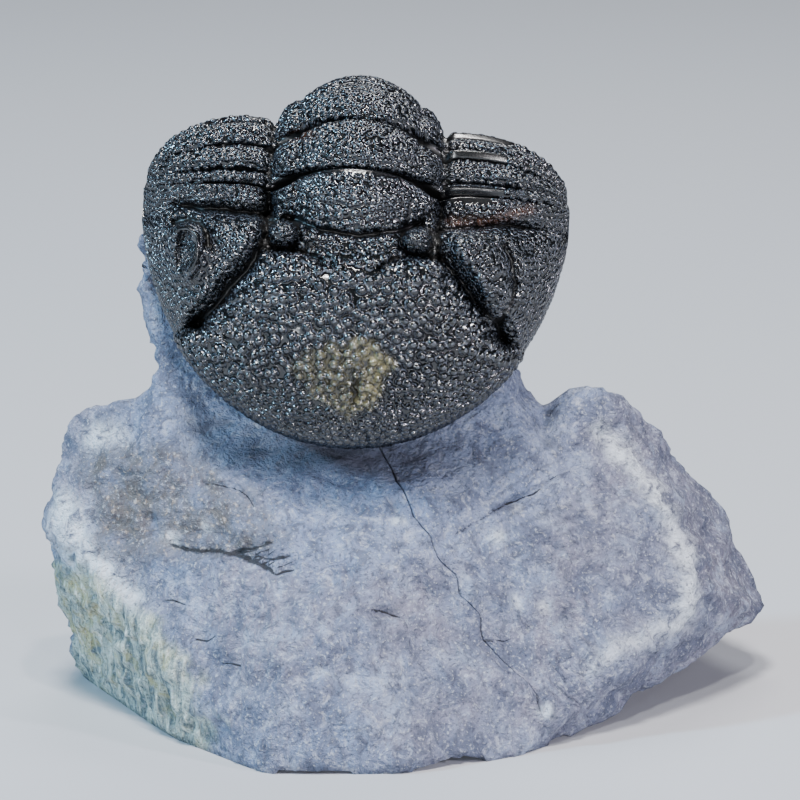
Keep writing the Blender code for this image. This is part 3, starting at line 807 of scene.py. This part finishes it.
def stone_distance(points):
    """Distance to the whole stone, with its lumps."""
    body = smooth_union(block_distance(points), pedestal_distance(points), FILLET)
    body = np.maximum(body, -points[..., 2])
    lumps = 0.45 * lattice_noise(points, 9.0, 1) + 0.2 * lattice_noise(points, 4.0, 2)
    return body + lumps * ramp(points[..., 2], 0.3, 4.0) * ramp(points[..., 2], 32.0, 25.0)


def reach_of_stone(directions):
    """Distance from the heart of the stone to its surface along each direction, found by halving."""
    heart = np.array(STONE_HEART)
    near = np.full(directions.shape[:-1], 2.0)
    far = np.full(directions.shape[:-1], STONE_REACH)
    for _ in range(22):
        middle = 0.5 * (near + far)
        inside = stone_distance(heart + directions * middle[..., None]) < 0.0
        near = np.where(inside, middle, near)
        far = np.where(inside, far, middle)
    return near


def direction_of(polar, turn):
    """Unit vector at an angle from straight up and a turn about the upright axis."""
    return np.stack((np.sin(polar) * np.cos(turn), np.sin(polar) * np.sin(turn), np.cos(polar)), axis=-1)


CRACK = (
    (366, 434), (378, 444), (392, 469), (397, 482), (404, 492), (414, 516), (430, 534), (438, 558),
    (456, 576), (461, 597), (481, 615), (482, 636), (498, 655), (511, 670), (526, 681), (537, 694),
    (541, 712),
)


def crack_turns(polar):
    """Turn about the heart at which the crack crosses each polar angle, read off its picture line."""
    places = np.array(CRACK, dtype=float)
    camera = camera_place()
    right = np.array((1.0, 0.0, 0.0))
    up, forward = camera_axes()
    size = SENSOR / CAMERA_LENS / PICTURE
    rays = forward + np.outer((places[:, 0] - PICTURE / 2) * size, right)
    rays = rays + np.outer((PICTURE / 2 - places[:, 1]) * size, up)
    depth = np.full(len(places), 380.0)
    for _ in range(60):
        depth = depth + 0.7 * stone_distance(camera + rays * depth[:, None])
    local = camera + rays * depth[:, None] - np.array(STONE_HEART)
    angles = np.arccos(local[:, 2] / np.linalg.norm(local, axis=1))
    turns = np.arctan2(local[:, 1], local[:, 0])
    order = np.argsort(angles)
    return np.interp(polar, angles[order], turns[order]), angles.min(), angles.max()


def stone_rays(columns, rows):
    """Directions of the stone's grid, close together in front and along the crack.

    Rows run from straight up to the foot of the stone, which is found for each turn, and a few more
    cross the flat underside. Columns are pulled sideways so that one of them follows the crack.
    """
    turn_line = np.linspace(-math.pi, math.pi, 7201)
    reference = -1.05
    weight = 1.0 + 1.5 * bell(turn_line + 0.5 * math.pi, 1.25) + 9.0 * bell(turn_line - reference, 0.018)
    run = np.concatenate(((0.0,), np.cumsum(0.5 * (weight[1:] + weight[:-1]))))
    base = np.interp(np.arange(columns) / columns * run[-1], run, turn_line)
    base = base + reference - base[np.argmin(np.abs(base - reference))]

    low = np.full(columns, 0.9)
    high = np.full(columns, 2.9)
    for _ in range(24):
        middle = 0.5 * (low + high)
        rays = direction_of(middle, base)
        height = STONE_HEART[2] + rays[:, 2] * reach_of_stone(rays)
        low = np.where(height > 0.25, middle, low)
        high = np.where(height > 0.25, high, middle)
    foot = low
    top_rows = np.linspace(0.05, 0.40, 9)[:-1]
    side_rows = np.linspace(0.0, 1.0, rows)
    under_rows = np.linspace(0.0, 1.0, 11)[1:-1]
    polar = np.concatenate((
        np.broadcast_to(top_rows[:, None], (len(top_rows), columns)),
        0.40 + side_rows[:, None] * (foot - 0.40),
        foot + under_rows[:, None] * (math.pi - foot),
    ))
    crack_turn, first, last = crack_turns(polar)
    pull = (crack_turn - reference) * bell(base - reference, 0.55)
    turn = base + pull
    return polar, turn, (polar > first) & (polar < last), turn - crack_turn


def make_matrix(columns=452, rows=186):
    """The limestone: distances along rays from the heart of the stone, with relief on its normals."""
    polar, turn, beside_crack, crack_offset = stone_rays(columns, rows)
    rays = direction_of(polar, turn)
    reach = reach_of_stone(rays)
    place = np.array(STONE_HEART) + rays * reach[..., None]
    normals = outward_normals(place, closed=True)
    normals = normals * np.sign(np.sum(normals * rays, axis=-1, keepdims=True))
    flat = place[..., 2] < 0.3
    across, below = picture_place(place)
    front = ramp(-normals[..., 1] + 0.22 * layered_noise(place, 4.0, 91), -0.1, 0.25)

    crack_distance = np.abs(crack_offset) * reach * np.sin(polar)
    crack = bell(crack_distance, 0.045) * beside_crack * front
    relief = stone_relief(place, across, below, front)
    relief -= 0.25 * crack
    relief *= ramp(place[..., 2], 0.05, 1.0)
    place = place + normals * relief[..., None]
    place[..., 2] = np.where(flat, 0.0, np.maximum(place[..., 2], 0.0))
    ends = (
        np.array(STONE_HEART) + np.array((0.0, 0.0, 1.0)) * reach_of_stone(np.array((0.0, 0.0, 1.0))),
        np.array((STONE_HEART[0], STONE_HEART[1], 0.0)),
    )
    masks = stone_masks(place, across, below, front, crack)
    return closed_piece("limestone_block", place, ends, masks)


FISSURES = (
    ((172, 545), (188, 549), (206, 548), (222, 552), (240, 556), (258, 563), (266, 566)),
    ((228, 553), (242, 549), (256, 546), (272, 541)),
    ((240, 557), (256, 555), (272, 557), (288, 553)),
    ((262, 564), (272, 571), (280, 567), (291, 566)),
    ((203, 483), (222, 486), (238, 489), (248, 497), (254, 507)),
    ((162, 598), (172, 599), (184, 604)),
    ((193, 638), (202, 639), (214, 636)),
    ((217, 661), (226, 662), (236, 665)),
    ((373, 608), (384, 610), (398, 615)),
    ((485, 641), (497, 642), (511, 639)),
    ((507, 503), (520, 500), (532, 493), (541, 489)),
    ((454, 534), (480, 519), (507, 503)),
    ((541, 489), (556, 474), (566, 459), (580, 440)),
)
FISSURE_WIDTHS = (0.21, 0.12, 0.12, 0.11, 0.045, 0.08, 0.08, 0.07, 0.07, 0.05, 0.075, 0.02, 0.02)
SMUDGES = (
    (209, 428, 9), (225, 426, 6), (394, 507, 7), (516, 503, 7), (570, 616, 8), (384, 611, 8),
    (104, 552, 7), (548, 440, 6),
)
WHITE_SPOTS = (
    (401, 523, 6), (519, 505, 4), (515, 603, 6), (548, 609, 6), (545, 716, 7), (500, 535, 8),
    (209, 527, 5), (172, 540, 6), (690, 605, 10),
)
CREASE = (
    (600, 430), (626, 446), (641, 458), (652, 488), (668, 506), (676, 528), (690, 552), (704, 570),
)
EDGE_LINE = ((622, 440), (640, 476), (658, 500), (676, 532), (690, 566), (690, 600))
WHITE_RIGHT = (
    (600, 425), (622, 440), (640, 476), (658, 500), (676, 532), (690, 566), (694, 600), (681, 620),
)
WHITE_LOW = ((694, 610), (641, 639), (610, 652), (592, 668))
WHITE_LEFT = ((61, 505), (70, 530), (84, 556), (128, 590))
WHITE_CORNER = ((98, 436), (120, 434))
GREEN_EDGE_BELOW = (545.0, 560.0, 590.0, 610.0, 660.0, 699.0, 730.0)
GREEN_EDGE_ACROSS = (60.0, 72.0, 130.0, 152.0, 176.0, 194.0, 216.0)
COVE_CENTRE = (372.0, 385.0)
COVE_HALF_SIZES = (235.0, 185.0)
SPECKLED_CENTRE = (632.0, 548.0)
SPECKLED_HALF_SIZES = (48.0, 60.0)
SHOULDER_CENTRE = (590.0, 432.0)
SHOULDER_HALF_SIZES = (42.0, 26.0)
# Painted shadow of the head on the hollow below it, in pixels of the picture
SHADE_CENTRE = (350.0, 454.0)
SHADE_HALF_SIZES = (118.0, 24.0)
LENS_CENTRE = (396.0, 477.0)
NOTCH_PLACE = 12.4
FAR = 8.0


def fissure_places(across, below, place):
    """Distance to the nearest fissure, in mm over its width: sideways, and beyond its end."""
    wander = 2.2 * lattice_noise(place, 1.1, 27) + 1.6 * lattice_noise(place, 2.6, 28)
    x, y = across + wander, below + wander * 0.8
    best = np.full(across.shape, 1e9)
    beside = np.full(across.shape, 1.0)
    beyond = np.full(across.shape, 1.0)
    for line, width in zip(FISSURES, FISSURE_WIDTHS):
        for first, second in zip(line[:-1], line[1:]):
            run = np.subtract(second, first)
            length = math.hypot(*run)
            along = ((x - first[0]) * run[0] + (y - first[1]) * run[1]) / length
            sideways = ((y - first[1]) * run[0] - (x - first[0]) * run[1]) / length
            over = np.maximum(np.maximum(-along, along - length), 0.0)
            distance = np.hypot(sideways, over) / PIXELS_PER_MM / width
            nearer = distance < best
            best = np.where(nearer, distance, best)
            beside = np.where(nearer, sideways / PIXELS_PER_MM / width, beside)
            beyond = np.where(nearer, over / PIXELS_PER_MM / width, beyond)
    return np.where(best > FAR, FAR, beside), np.where(best > FAR, FAR, beyond)


def stone_relief(place, across, below, front):
    """Relief of the broken stone, in mm: lumps, ledges, hackly grain, the patch, fissures and pits."""
    bent = place + 1.3 * np.stack([layered_noise(place, 6.0, seed) for seed in (31, 37, 41)], axis=-1)
    lumps = layered_noise(bent, 3.2, 5, layers=3)
    ledge = lattice_noise(bent * np.array((0.55, 0.55, 1.6)), 4.0, 9) * 2.4
    ledge = (np.floor(ledge) + ramp(ledge - np.floor(ledge), 0.35, 0.65)) / 2.4
    hackle = 1.0 - np.abs(layered_noise(bent, 1.6, 15, layers=3))
    worked = cove_share(across, below) * front
    relief = 0.28 * lumps + 0.58 * ledge * (1.0 - worked)
    relief += 0.42 * (hackle - 0.6) * (1.0 - 0.75 * worked)
    relief += 0.13 * lattice_noise(place, 0.8, 21) * (1.0 - 0.5 * worked)
    relief -= 0.16 * stratum_lines(across, below, place) * worked
    patch = weathered_share(across, below, place) * front
    ripple = lattice_noise(bent * np.array((0.45, 0.45, 2.0)), 1.5, 25)
    relief += 0.25 * patch + 0.22 * patch * ripple
    rough = greenish_share(across, below, place) * front
    streak = layered_noise(bent * np.array((1.6, 1.6, 0.45)), 1.3, 35, layers=2)
    relief += 0.38 * rough * streak
    beside, beyond = fissure_places(across, below, place)
    relief -= 0.45 * bell(np.hypot(beside, beyond), 2.6) * front
    relief -= 0.35 * round_spots(across, below, SMUDGES) * front
    relief -= 0.45 * bell(line_distance(across, below, CREASE), 4.0) * front
    relief -= 1.4 * bell(place[..., 0] - NOTCH_PLACE, 1.0) * ramp(place[..., 2], 23.0, 26.0)
    return relief + 0.45 * bell(line_distance(across, below, EDGE_LINE), 7.0) * front


def stratum_lines(across, below, place):
    """Bedding seen in the right of the hollow: thin dark lines across a bent, rising direction."""
    bend = 9.0 * lattice_noise(place, 7.0, 51) + 3.0 * lattice_noise(place, 2.5, 52)
    height = below + 0.42 * (across - 400.0) + 0.0008 * (across - 470.0) ** 2 + bend
    lines = np.clip(np.sin(height / 17.0 * 2.0 * math.pi), 0.0, 1.0) ** 6
    area = ramp(across, 370.0, 440.0) * ramp(across, 640.0, 580.0)
    area = area * ramp(below, 430.0, 455.0) * ramp(below, 600.0, 540.0)
    return lines * area * ramp(lattice_noise(place, 5.0, 53), -0.5, 0.4)


def frayed(across, below, place, reach):
    """Picture place with its points moved about by noise, so that the edge of a patch is ragged."""
    return (across + reach * layered_noise(place, 4.5, 61, layers=4, fading=0.65),
            below + reach * layered_noise(place, 4.5, 71, layers=4, fading=0.65))


def cove_share(across, below):
    """Share of the smooth hollow under the head: 1 in its middle, 0 on the shoulders and the face."""
    return ramp(oval(across, below, COVE_CENTRE, COVE_HALF_SIZES), 1.12, 0.82)


def weathered_share(across, below, place):
    """Share of the brown weathered patch on the left shoulder."""
    x, y = frayed(across, below, place, 13.0)
    upper = 446.0 + np.clip(x - 150.0, 0.0, 150.0) * 0.50
    between = ramp(x, 78.0, 104.0) * ramp(x, 300.0, 240.0)
    return between * ramp(y - upper, -12.0, 16.0) * ramp(y, 570.0, 540.0)


def greenish_share(across, below, place):
    """Share of the pale, green-stained broken face at the lower left."""
    x, y = frayed(across, below, place, 14.0)
    edge = np.interp(y, GREEN_EDGE_BELOW, GREEN_EDGE_ACROSS)
    return ramp(edge - x, -14.0, 14.0) * ramp(y, 535.0, 565.0)


def stone_masks(place, across, below, front, crack):
    """Where the stone's colours lie, as shares from 0 to 1 about lines and places on it."""
    x, y = frayed(across, below, place, 7.0)
    ridge = bell(line_distance(x, y, WHITE_RIGHT), 8.5) + 0.6 * bell(line_distance(x, y, WHITE_LOW), 10.0)
    ridge = ridge + bell(line_distance(x, y, WHITE_LEFT), 13.0)
    ridge = ridge + 0.8 * bell(line_distance(x, y, WHITE_CORNER), 11.0)
    ridge = ridge + 0.9 * round_spots(x, y, WHITE_SPOTS)
    beyond = ramp(x - (596.0 + 0.50 * (y - 420.0)), 6.0, 34.0) * ramp(y, 690.0, 610.0)
    speckled = bell(oval(x, y, SPECKLED_CENTRE, SPECKLED_HALF_SIZES), 1.0)
    shoulder = bell(oval(x, y, SHOULDER_CENTRE, SHOULDER_HALF_SIZES), 1.0)
    shaded = 0.55 * round_spots(x, y, SMUDGES) + 0.5 * stratum_lines(across, below, place)
    # Painted shadow: the head's shadow on the hollow under it is painted dark
    shaded = shaded + 0.98 * bell(oval(x, y, SHADE_CENTRE, SHADE_HALF_SIZES), 1.0)
    slant = across - 0.45 * (below - LENS_CENTRE[1])
    lens = bell(oval(slant, below, LENS_CENTRE, (3.0, 10.0)), 1.0)
    beside, beyond_end = fissure_places(across, below, place)
    return {
        "cove": cove_share(across, below) * front,
        "weathered": weathered_share(across, below, place) * front,
        "ridge": np.clip(ridge, 0.0, 1.0) * front,
        "dusky": np.clip(0.95 * beyond + 0.6 * speckled + shoulder, 0.0, 1.0) * front,
        "greenish": greenish_share(across, below, place) * front,
        "crack": np.clip(0.8 * crack + 0.8 * lens * front, 0.0, 1.0),
        "smudge_and_painted_shadow": np.clip(shaded, 0.0, 1.0) * front,
        "beside": np.where(front > 0.3, beside, FAR),
        "beyond": np.where(front > 0.3, beyond_end, FAR),
    }


def shade(code):
    """Linear red, green, blue and 1 of an sRGB hex code."""
    parts = [int(code[start:start + 2], 16) / 255.0 for start in (1, 3, 5)]
    linear = [part / 12.92 if part <= 0.04045 else ((part + 0.055) / 1.055) ** 2.4 for part in parts]
    return (*linear, 1.0)


def add_node(tree, kind, inputs, output=0, **settings):
    """One node of a material, with its settings and with sockets set or linked; gives one output."""
    node = tree.nodes.new(kind)
    for name, value in settings.items():
        setattr(node, name, value)
    for name, value in inputs.items():
        if isinstance(value, bpy.types.NodeSocket):
            tree.links.new(value, node.inputs[name])
        else:
            node.inputs[name].default_value = value
    return node.outputs[output]


def new_material(name, masks):
    """A material, its node tree, its shader, the object's own coordinates and the named masks."""
    material = bpy.data.materials.new(name)
    material.use_nodes = True
    tree = material.node_tree
    place = add_node(tree, "ShaderNodeTexCoord", {}, "Object")
    read = {mask: add_node(tree, "ShaderNodeAttribute", {}, "Fac", attribute_name=mask) for mask in masks}
    return material, tree, tree.nodes["Principled BSDF"], place, read


def black_calcite():
    """Calcite shell stained black, cleaned with fine abrasive and oiled: it glints grain by grain."""
    names = ("granule", "furrow", "ochre", "rust")
    material, tree, shader, place, masks = new_material("oiled black calcite", names)
    granule = masks["granule"]
    # Clouds of 4 mm, flakes of stain of 0.4 mm, grains of 0.15 mm that glint
    cloud = add_node(tree, "ShaderNodeTexNoise", {"Vector": place, "Scale": 250.0, "Detail": 3.0})
    flake = add_node(tree, "ShaderNodeTexNoise", {
        "Vector": place, "Scale": 2600.0, "Detail": 3.0, "Roughness": 0.65})
    grain = add_node(tree, "ShaderNodeTexNoise", {"Vector": place, "Scale": 6500.0, "Detail": 2.0})

    # Painted highlight: a paler rim round each granule and a paler spot on top of some of them stand in for
    # the glints of the glossy granules, broken up by the grain
    rim = add_node(tree, "ShaderNodeMath", {0: granule, 1: 0.74, 2: 0.10}, operation="COMPARE")
    spot = add_node(tree, "ShaderNodeMath", {0: granule, 1: 1.25}, operation="GREATER_THAN")
    painted_glints = add_node(tree, "ShaderNodeMath", {0: spot, 1: 0.8, 2: rim}, operation="MULTIPLY_ADD")
    glint_breakup = add_node(tree, "ShaderNodeMapRange", {
        "Value": grain, "From Min": 0.40, "From Max": 0.62, "To Min": 0.05})
    painted_glints = add_node(tree, "ShaderNodeMath", {0: painted_glints, 1: glint_breakup}, operation="MULTIPLY")
    flaked = add_node(tree, "ShaderNodeMapRange", {
        "Value": flake, "From Min": 0.38, "From Max": 0.66, "To Min": 0.10, "To Max": 0.95})
    ochre = add_node(tree, "ShaderNodeMath", {0: masks["ochre"], 1: flaked}, operation="MULTIPLY")
    rust = add_node(tree, "ShaderNodeMath", {0: masks["rust"], 1: flaked}, operation="MULTIPLY")
    body = shade("#020303")
    layers = (
        (cloud, "#0c0e12"),
        # Painted highlight round and on top of the granules
        (painted_glints, "#4b515b"),
        (ochre, "#7e7857"),
        (rust, "#8a5a3c"),
        # Painted shade in the furrows and between the rings, with the chin crack
        (masks["furrow"], "#030304"),
    )
    for share, colour in layers:
        body = add_node(tree, "ShaderNodeMix", {0: share, 6: body, 7: shade(colour)}, 2, data_type="RGBA")
    tree.links.new(body, shader.inputs["Base Color"])

    # Granules are glossier than smooth shell, and the furrows are duller
    polish = add_node(tree, "ShaderNodeMapRange", {
        "Value": granule, "From Max": 0.3, "To Min": 0.25, "To Max": 0.15})
    dull = add_node(tree, "ShaderNodeMath", {0: masks["furrow"], 1: 0.45}, operation="MULTIPLY")
    rough = add_node(tree, "ShaderNodeMath", {0: polish, 1: dull}, operation="MAXIMUM")
    tree.links.new(rough, shader.inputs["Roughness"])

    # Height of a granule over its radius: the root of 1 less the square of the share from its centre
    share = add_node(tree, "ShaderNodeMath", {0: GRANULE_PEAK, 1: granule}, operation="SUBTRACT")
    squared = add_node(tree, "ShaderNodeMath", {0: share, 1: share}, operation="MULTIPLY")
    left = add_node(tree, "ShaderNodeMath", {0: 1.0, 1: squared}, operation="SUBTRACT", use_clamp=True)
    dome = add_node(tree, "ShaderNodeMath", {0: left, 1: 0.5}, operation="POWER")
    height = add_node(tree, "ShaderNodeMath", {0: grain, 1: 0.10, 2: dome}, operation="MULTIPLY_ADD")
    normal = add_node(tree, "ShaderNodeBump", {"Height": height, "Distance": 0.00010})
    tree.links.new(normal, shader.inputs["Normal"])
    shader.inputs["IOR"].default_value = 1.66
    return material


# Patterns in the stone: size in mm, detail, roughness, distortion
STONE_PATTERNS = {
    "cloud": (8.0, 4.0, 0.60, 0.0),
    "mottle": (3.0, 5.0, 0.62, 0.5),
    "blotch": (1.3, 5.0, 0.65, 0.8),
    "grain": (0.30, 2.0, 0.60, 0.0),
    "speck": (0.55, 2.0, 0.50, 0.0),
    "stroke": (0.35, 3.0, 0.60, 0.0),
    "fibre": (0.75, 5.0, 0.70, 0.4),
}

# Colours laid over one another: where (a mask), pattern, where it starts and is full, most, colour
STONE_LAYERS = (
    # Lavender clouds on blue grey, and the cleaner stone of the worked hollow
    ("", "cloud", 0.36, 0.62, 1.0, "#77788b"),
    ("cove", "", 0.0, 0.0, 1.0, "#707f9e"),
    ("cove", "cloud", 0.35, 0.65, 1.0, "#788199"),
    ("dusky", "mottle", 0.30, 0.60, 0.92, "#5b5868"),
    # Mottles from 3 mm down to 1 mm, dark and light
    ("", "mottle", 0.50, 0.62, 0.80, "#4f566d"),
    ("", "mottle", 0.46, 0.34, 0.65, "#929eb6"),
    ("", "blotch", 0.52, 0.62, 0.70, "#494e60"),
    ("", "blotch", 0.45, 0.34, 0.65, "#a3a9ba"),
    # Strokes of the air abrasive
    ("cove", "stroke", 0.52, 0.66, 0.45, "#5b6784"),
    # Weathered skin: grey brown with blue parts and tan specks of iron
    ("weathered", "", 0.0, 0.0, 0.95, "#55514f"),
    ("weathered", "mottle", 0.40, 0.62, 1.0, "#687086"),
    ("weathered", "blotch", 0.50, 0.66, 0.80, "#49464c"),
    ("weathered", "speck", 0.60, 0.70, 0.60, "#9a8a78"),
    # Broken face at the lower left: white calcite fibres and yellow stains between green hollows
    ("greenish", "", 0.0, 0.0, 0.92, "#57696d"),
    ("greenish", "fibre", 0.40, 0.56, 1.0, "#b8c6bf"),
    ("greenish", "mottle", 0.50, 0.66, 0.75, "#b6b17d"),
    ("greenish", "fibre", 0.56, 0.68, 0.90, "#f2f5ee"),
    # Bruised white edges
    ("ridge", "blotch", 0.66, 0.48, 1.0, "#c8d0da"),
    # Light flecks of calcite and dark pores
    ("", "grain", 0.58, 0.70, 0.55, "#b0b6c0"),
    ("", "speck", 0.66, 0.74, 0.45, "#bdc0c8"),
    ("", "grain", 0.42, 0.30, 0.60, "#2e3240"),
    # Painted shadow of the head on the hollow below it, with darker smudges and bedding lines, and cracks
    ("smudge_and_painted_shadow", "", 0.0, 0.0, 1.0, "#343847"),
    ("crack", "", 0.0, 0.0, 1.0, "#272935"),
)


def limestone():
    """Dense blue-grey limestone, dusty and dry: broken faces, and a hollow worn smooth by abrasive."""
    names = ("cove", "weathered", "ridge", "dusky", "greenish", "crack", "smudge_and_painted_shadow", "beside", "beyond")
    material, tree, shader, place, masks = new_material("air abraded limestone", names)
    # Strokes run across the hollow, and fibres down the broken face
    places = {
        "stroke": add_node(tree, "ShaderNodeMapping", {
            "Vector": place, "Rotation": (0.2, 0.45, 0.0), "Scale": (0.22, 0.5, 1.0)}),
        "fibre": add_node(tree, "ShaderNodeMapping", {
            "Vector": place, "Rotation": (0.0, -0.25, 0.0), "Scale": (1.0, 1.0, 0.22)}),
    }
    patterns = {}
    for name, (size, detail, roughness, distortion) in STONE_PATTERNS.items():
        patterns[name] = add_node(tree, "ShaderNodeTexNoise", {
            "Vector": places.get(name, place), "Scale": 1000.0 / size, "Detail": detail,
            "Roughness": roughness, "Distortion": distortion})
    stone = shade("#65728d")
    for where, pattern, start, full, most, colour in STONE_LAYERS:
        share = most
        if pattern:
            share = add_node(tree, "ShaderNodeMapRange", {
                "Value": patterns[pattern], "From Min": start, "From Max": full, "To Max": most})
        if where:
            share = add_node(tree, "ShaderNodeMath", {0: share, 1: masks[where]}, operation="MULTIPLY")
        stone = add_node(tree, "ShaderNodeMix", {0: share, 6: stone, 7: shade(colour)}, 2, data_type="RGBA")

    # Open fissures, with edges frayed by the specks
    offset = add_node(tree, "ShaderNodeCombineXYZ", {"X": masks["beside"], "Y": masks["beyond"]})
    away = add_node(tree, "ShaderNodeVectorMath", {0: offset}, "Value", operation="LENGTH")
    ragged = add_node(tree, "ShaderNodeMath", {
        0: patterns["speck"], 1: 2.4, 2: away}, operation="MULTIPLY_ADD")
    share = add_node(tree, "ShaderNodeMapRange", {
        "Value": ragged, "From Min": 2.6, "From Max": 1.7, "To Max": 0.92})
    stone = add_node(tree, "ShaderNodeMix", {0: share, 6: stone, 7: shade("#0f1016")}, 2, data_type="RGBA")
    tree.links.new(stone, shader.inputs["Base Color"])

    # Fine relief: grains and blotches everywhere, fibres on the broken face
    height = add_node(tree, "ShaderNodeMath", {0: patterns["blotch"], 1: 0.9}, operation="MULTIPLY")
    height = add_node(tree, "ShaderNodeMath", {
        0: patterns["grain"], 1: 0.35, 2: height}, operation="MULTIPLY_ADD")
    fibres = add_node(tree, "ShaderNodeMath", {
        0: patterns["fibre"], 1: masks["greenish"]}, operation="MULTIPLY")
    height = add_node(tree, "ShaderNodeMath", {0: fibres, 1: 1.2, 2: height}, operation="MULTIPLY_ADD")
    normal = add_node(tree, "ShaderNodeBump", {"Height": height, "Distance": 0.0009})
    tree.links.new(normal, shader.inputs["Normal"])
    shader.inputs["Roughness"].default_value = 0.85
    shader.inputs["IOR"].default_value = 1.5
    return material


# Soft boxes: name, place, target and size in mm, watts, colour
MIDDLE = (0.0, 0.0, 35.0)
LIGHTS = (
    ("key", (-60.0, -250.0, 620.0), MIDDLE, (115.0, 80.0), 5.7, (1.0, 0.98, 0.97)),
    ("spot above", (70.0, -330.0, 560.0), MIDDLE, (36.0, 36.0), 1.8, (1.0, 0.99, 0.98)),
    ("left", (-520.0, -160.0, 330.0), MIDDLE, (60.0, 85.0), 5.2, (0.40, 0.73, 1.0)),
    ("right", (480.0, -300.0, 240.0), MIDDLE, (48.0, 64.0), 2.8, (0.90, 0.86, 1.0)),
    ("low left", (-230.0, -600.0, 70.0), MIDDLE, (30.0, 30.0), 1.2, (0.9, 0.95, 1.0)),
    ("low right", (210.0, -610.0, 90.0), MIDDLE, (30.0, 30.0), 1.6, (1.0, 0.98, 1.0)),
    ("back", (40.0, 260.0, 420.0), (0.0, 0.0, 45.0), (300.0, 90.0), 1.3, (0.95, 0.97, 1.0)),
)


def add_light(name, place, target, size, power, colour):
    """A soft box at a place, in mm, turned to the target."""
    data = bpy.data.lights.new(name, "AREA")
    data.shape = "RECTANGLE"
    data.size, data.size_y = size[0] * MM, size[1] * MM
    data.energy = power
    data.color = colour
    light = bpy.data.objects.new(name, data)
    light.location = [value * MM for value in place]
    aim = np.array(target) - np.array(place)
    yaw = math.atan2(aim[1], aim[0]) - 0.5 * math.pi
    pitch = math.atan2(math.hypot(aim[0], aim[1]), -aim[2])
    light.rotation_euler = (pitch, 0.0, yaw)
    bpy.context.scene.collection.objects.link(light)


def make_stage():
    """A plain pale floor, soft boxes and the camera."""
    mesh = bpy.data.meshes.new("floor")
    far = 3.0
    corners = [(-far, -far, 0.0), (far, -far, 0.0), (far, far, 0.0), (-far, far, 0.0)]
    mesh.from_pydata(corners, [], [(0, 1, 2, 3)])
    floor = bpy.data.objects.new("floor", mesh)
    bpy.context.scene.collection.objects.link(floor)
    material, _, shader, _, _ = new_material("matt card", ())
    shader.inputs["Base Color"].default_value = shade("#aeafb3")
    shader.inputs["Roughness"].default_value = 0.9
    mesh.materials.append(material)

    world = bpy.data.worlds.new("studio")
    world.use_nodes = True
    world.node_tree.nodes["Background"].inputs["Color"].default_value = (0.80, 0.84, 0.90, 1.0)
    world.node_tree.nodes["Background"].inputs["Strength"].default_value = 0.06
    bpy.context.scene.world = world

    for light in LIGHTS:
        add_light(*light)

    data = bpy.data.cameras.new("camera")
    data.lens = CAMERA_LENS
    data.sensor_width = SENSOR
    camera = bpy.data.objects.new("camera", data)
    camera.location = [value * MM for value in camera_place()]
    camera.rotation_euler = (math.radians(90.0 - CAMERA_ELEVATION), 0.0, 0.0)
    bpy.context.scene.collection.objects.link(camera)
    bpy.context.scene.camera = camera


def dress(piece, node, material):
    """A finished piece: its material, the CAD node it stands for and the slot it belongs to."""
    piece.data.materials.append(material)
    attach(piece, "root")
    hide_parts(node)


def main():
    """Every piece, dressed, and the stage about them."""
    shell = black_calcite()
    dress(make_cephalon(), "cephalon", shell)
    for number in range(SEGMENTS):
        columns, rows = (410, 74) if number < 2 else (250, 46)
        segment = make_segment(number, columns, rows)
        dress(segment, f"thoracic_segment_{number + 1:02d}", shell)
    dress(make_pygidium(), "pygidium", shell)
    dress(make_matrix(), "matrix", limestone())
    make_stage()


main()
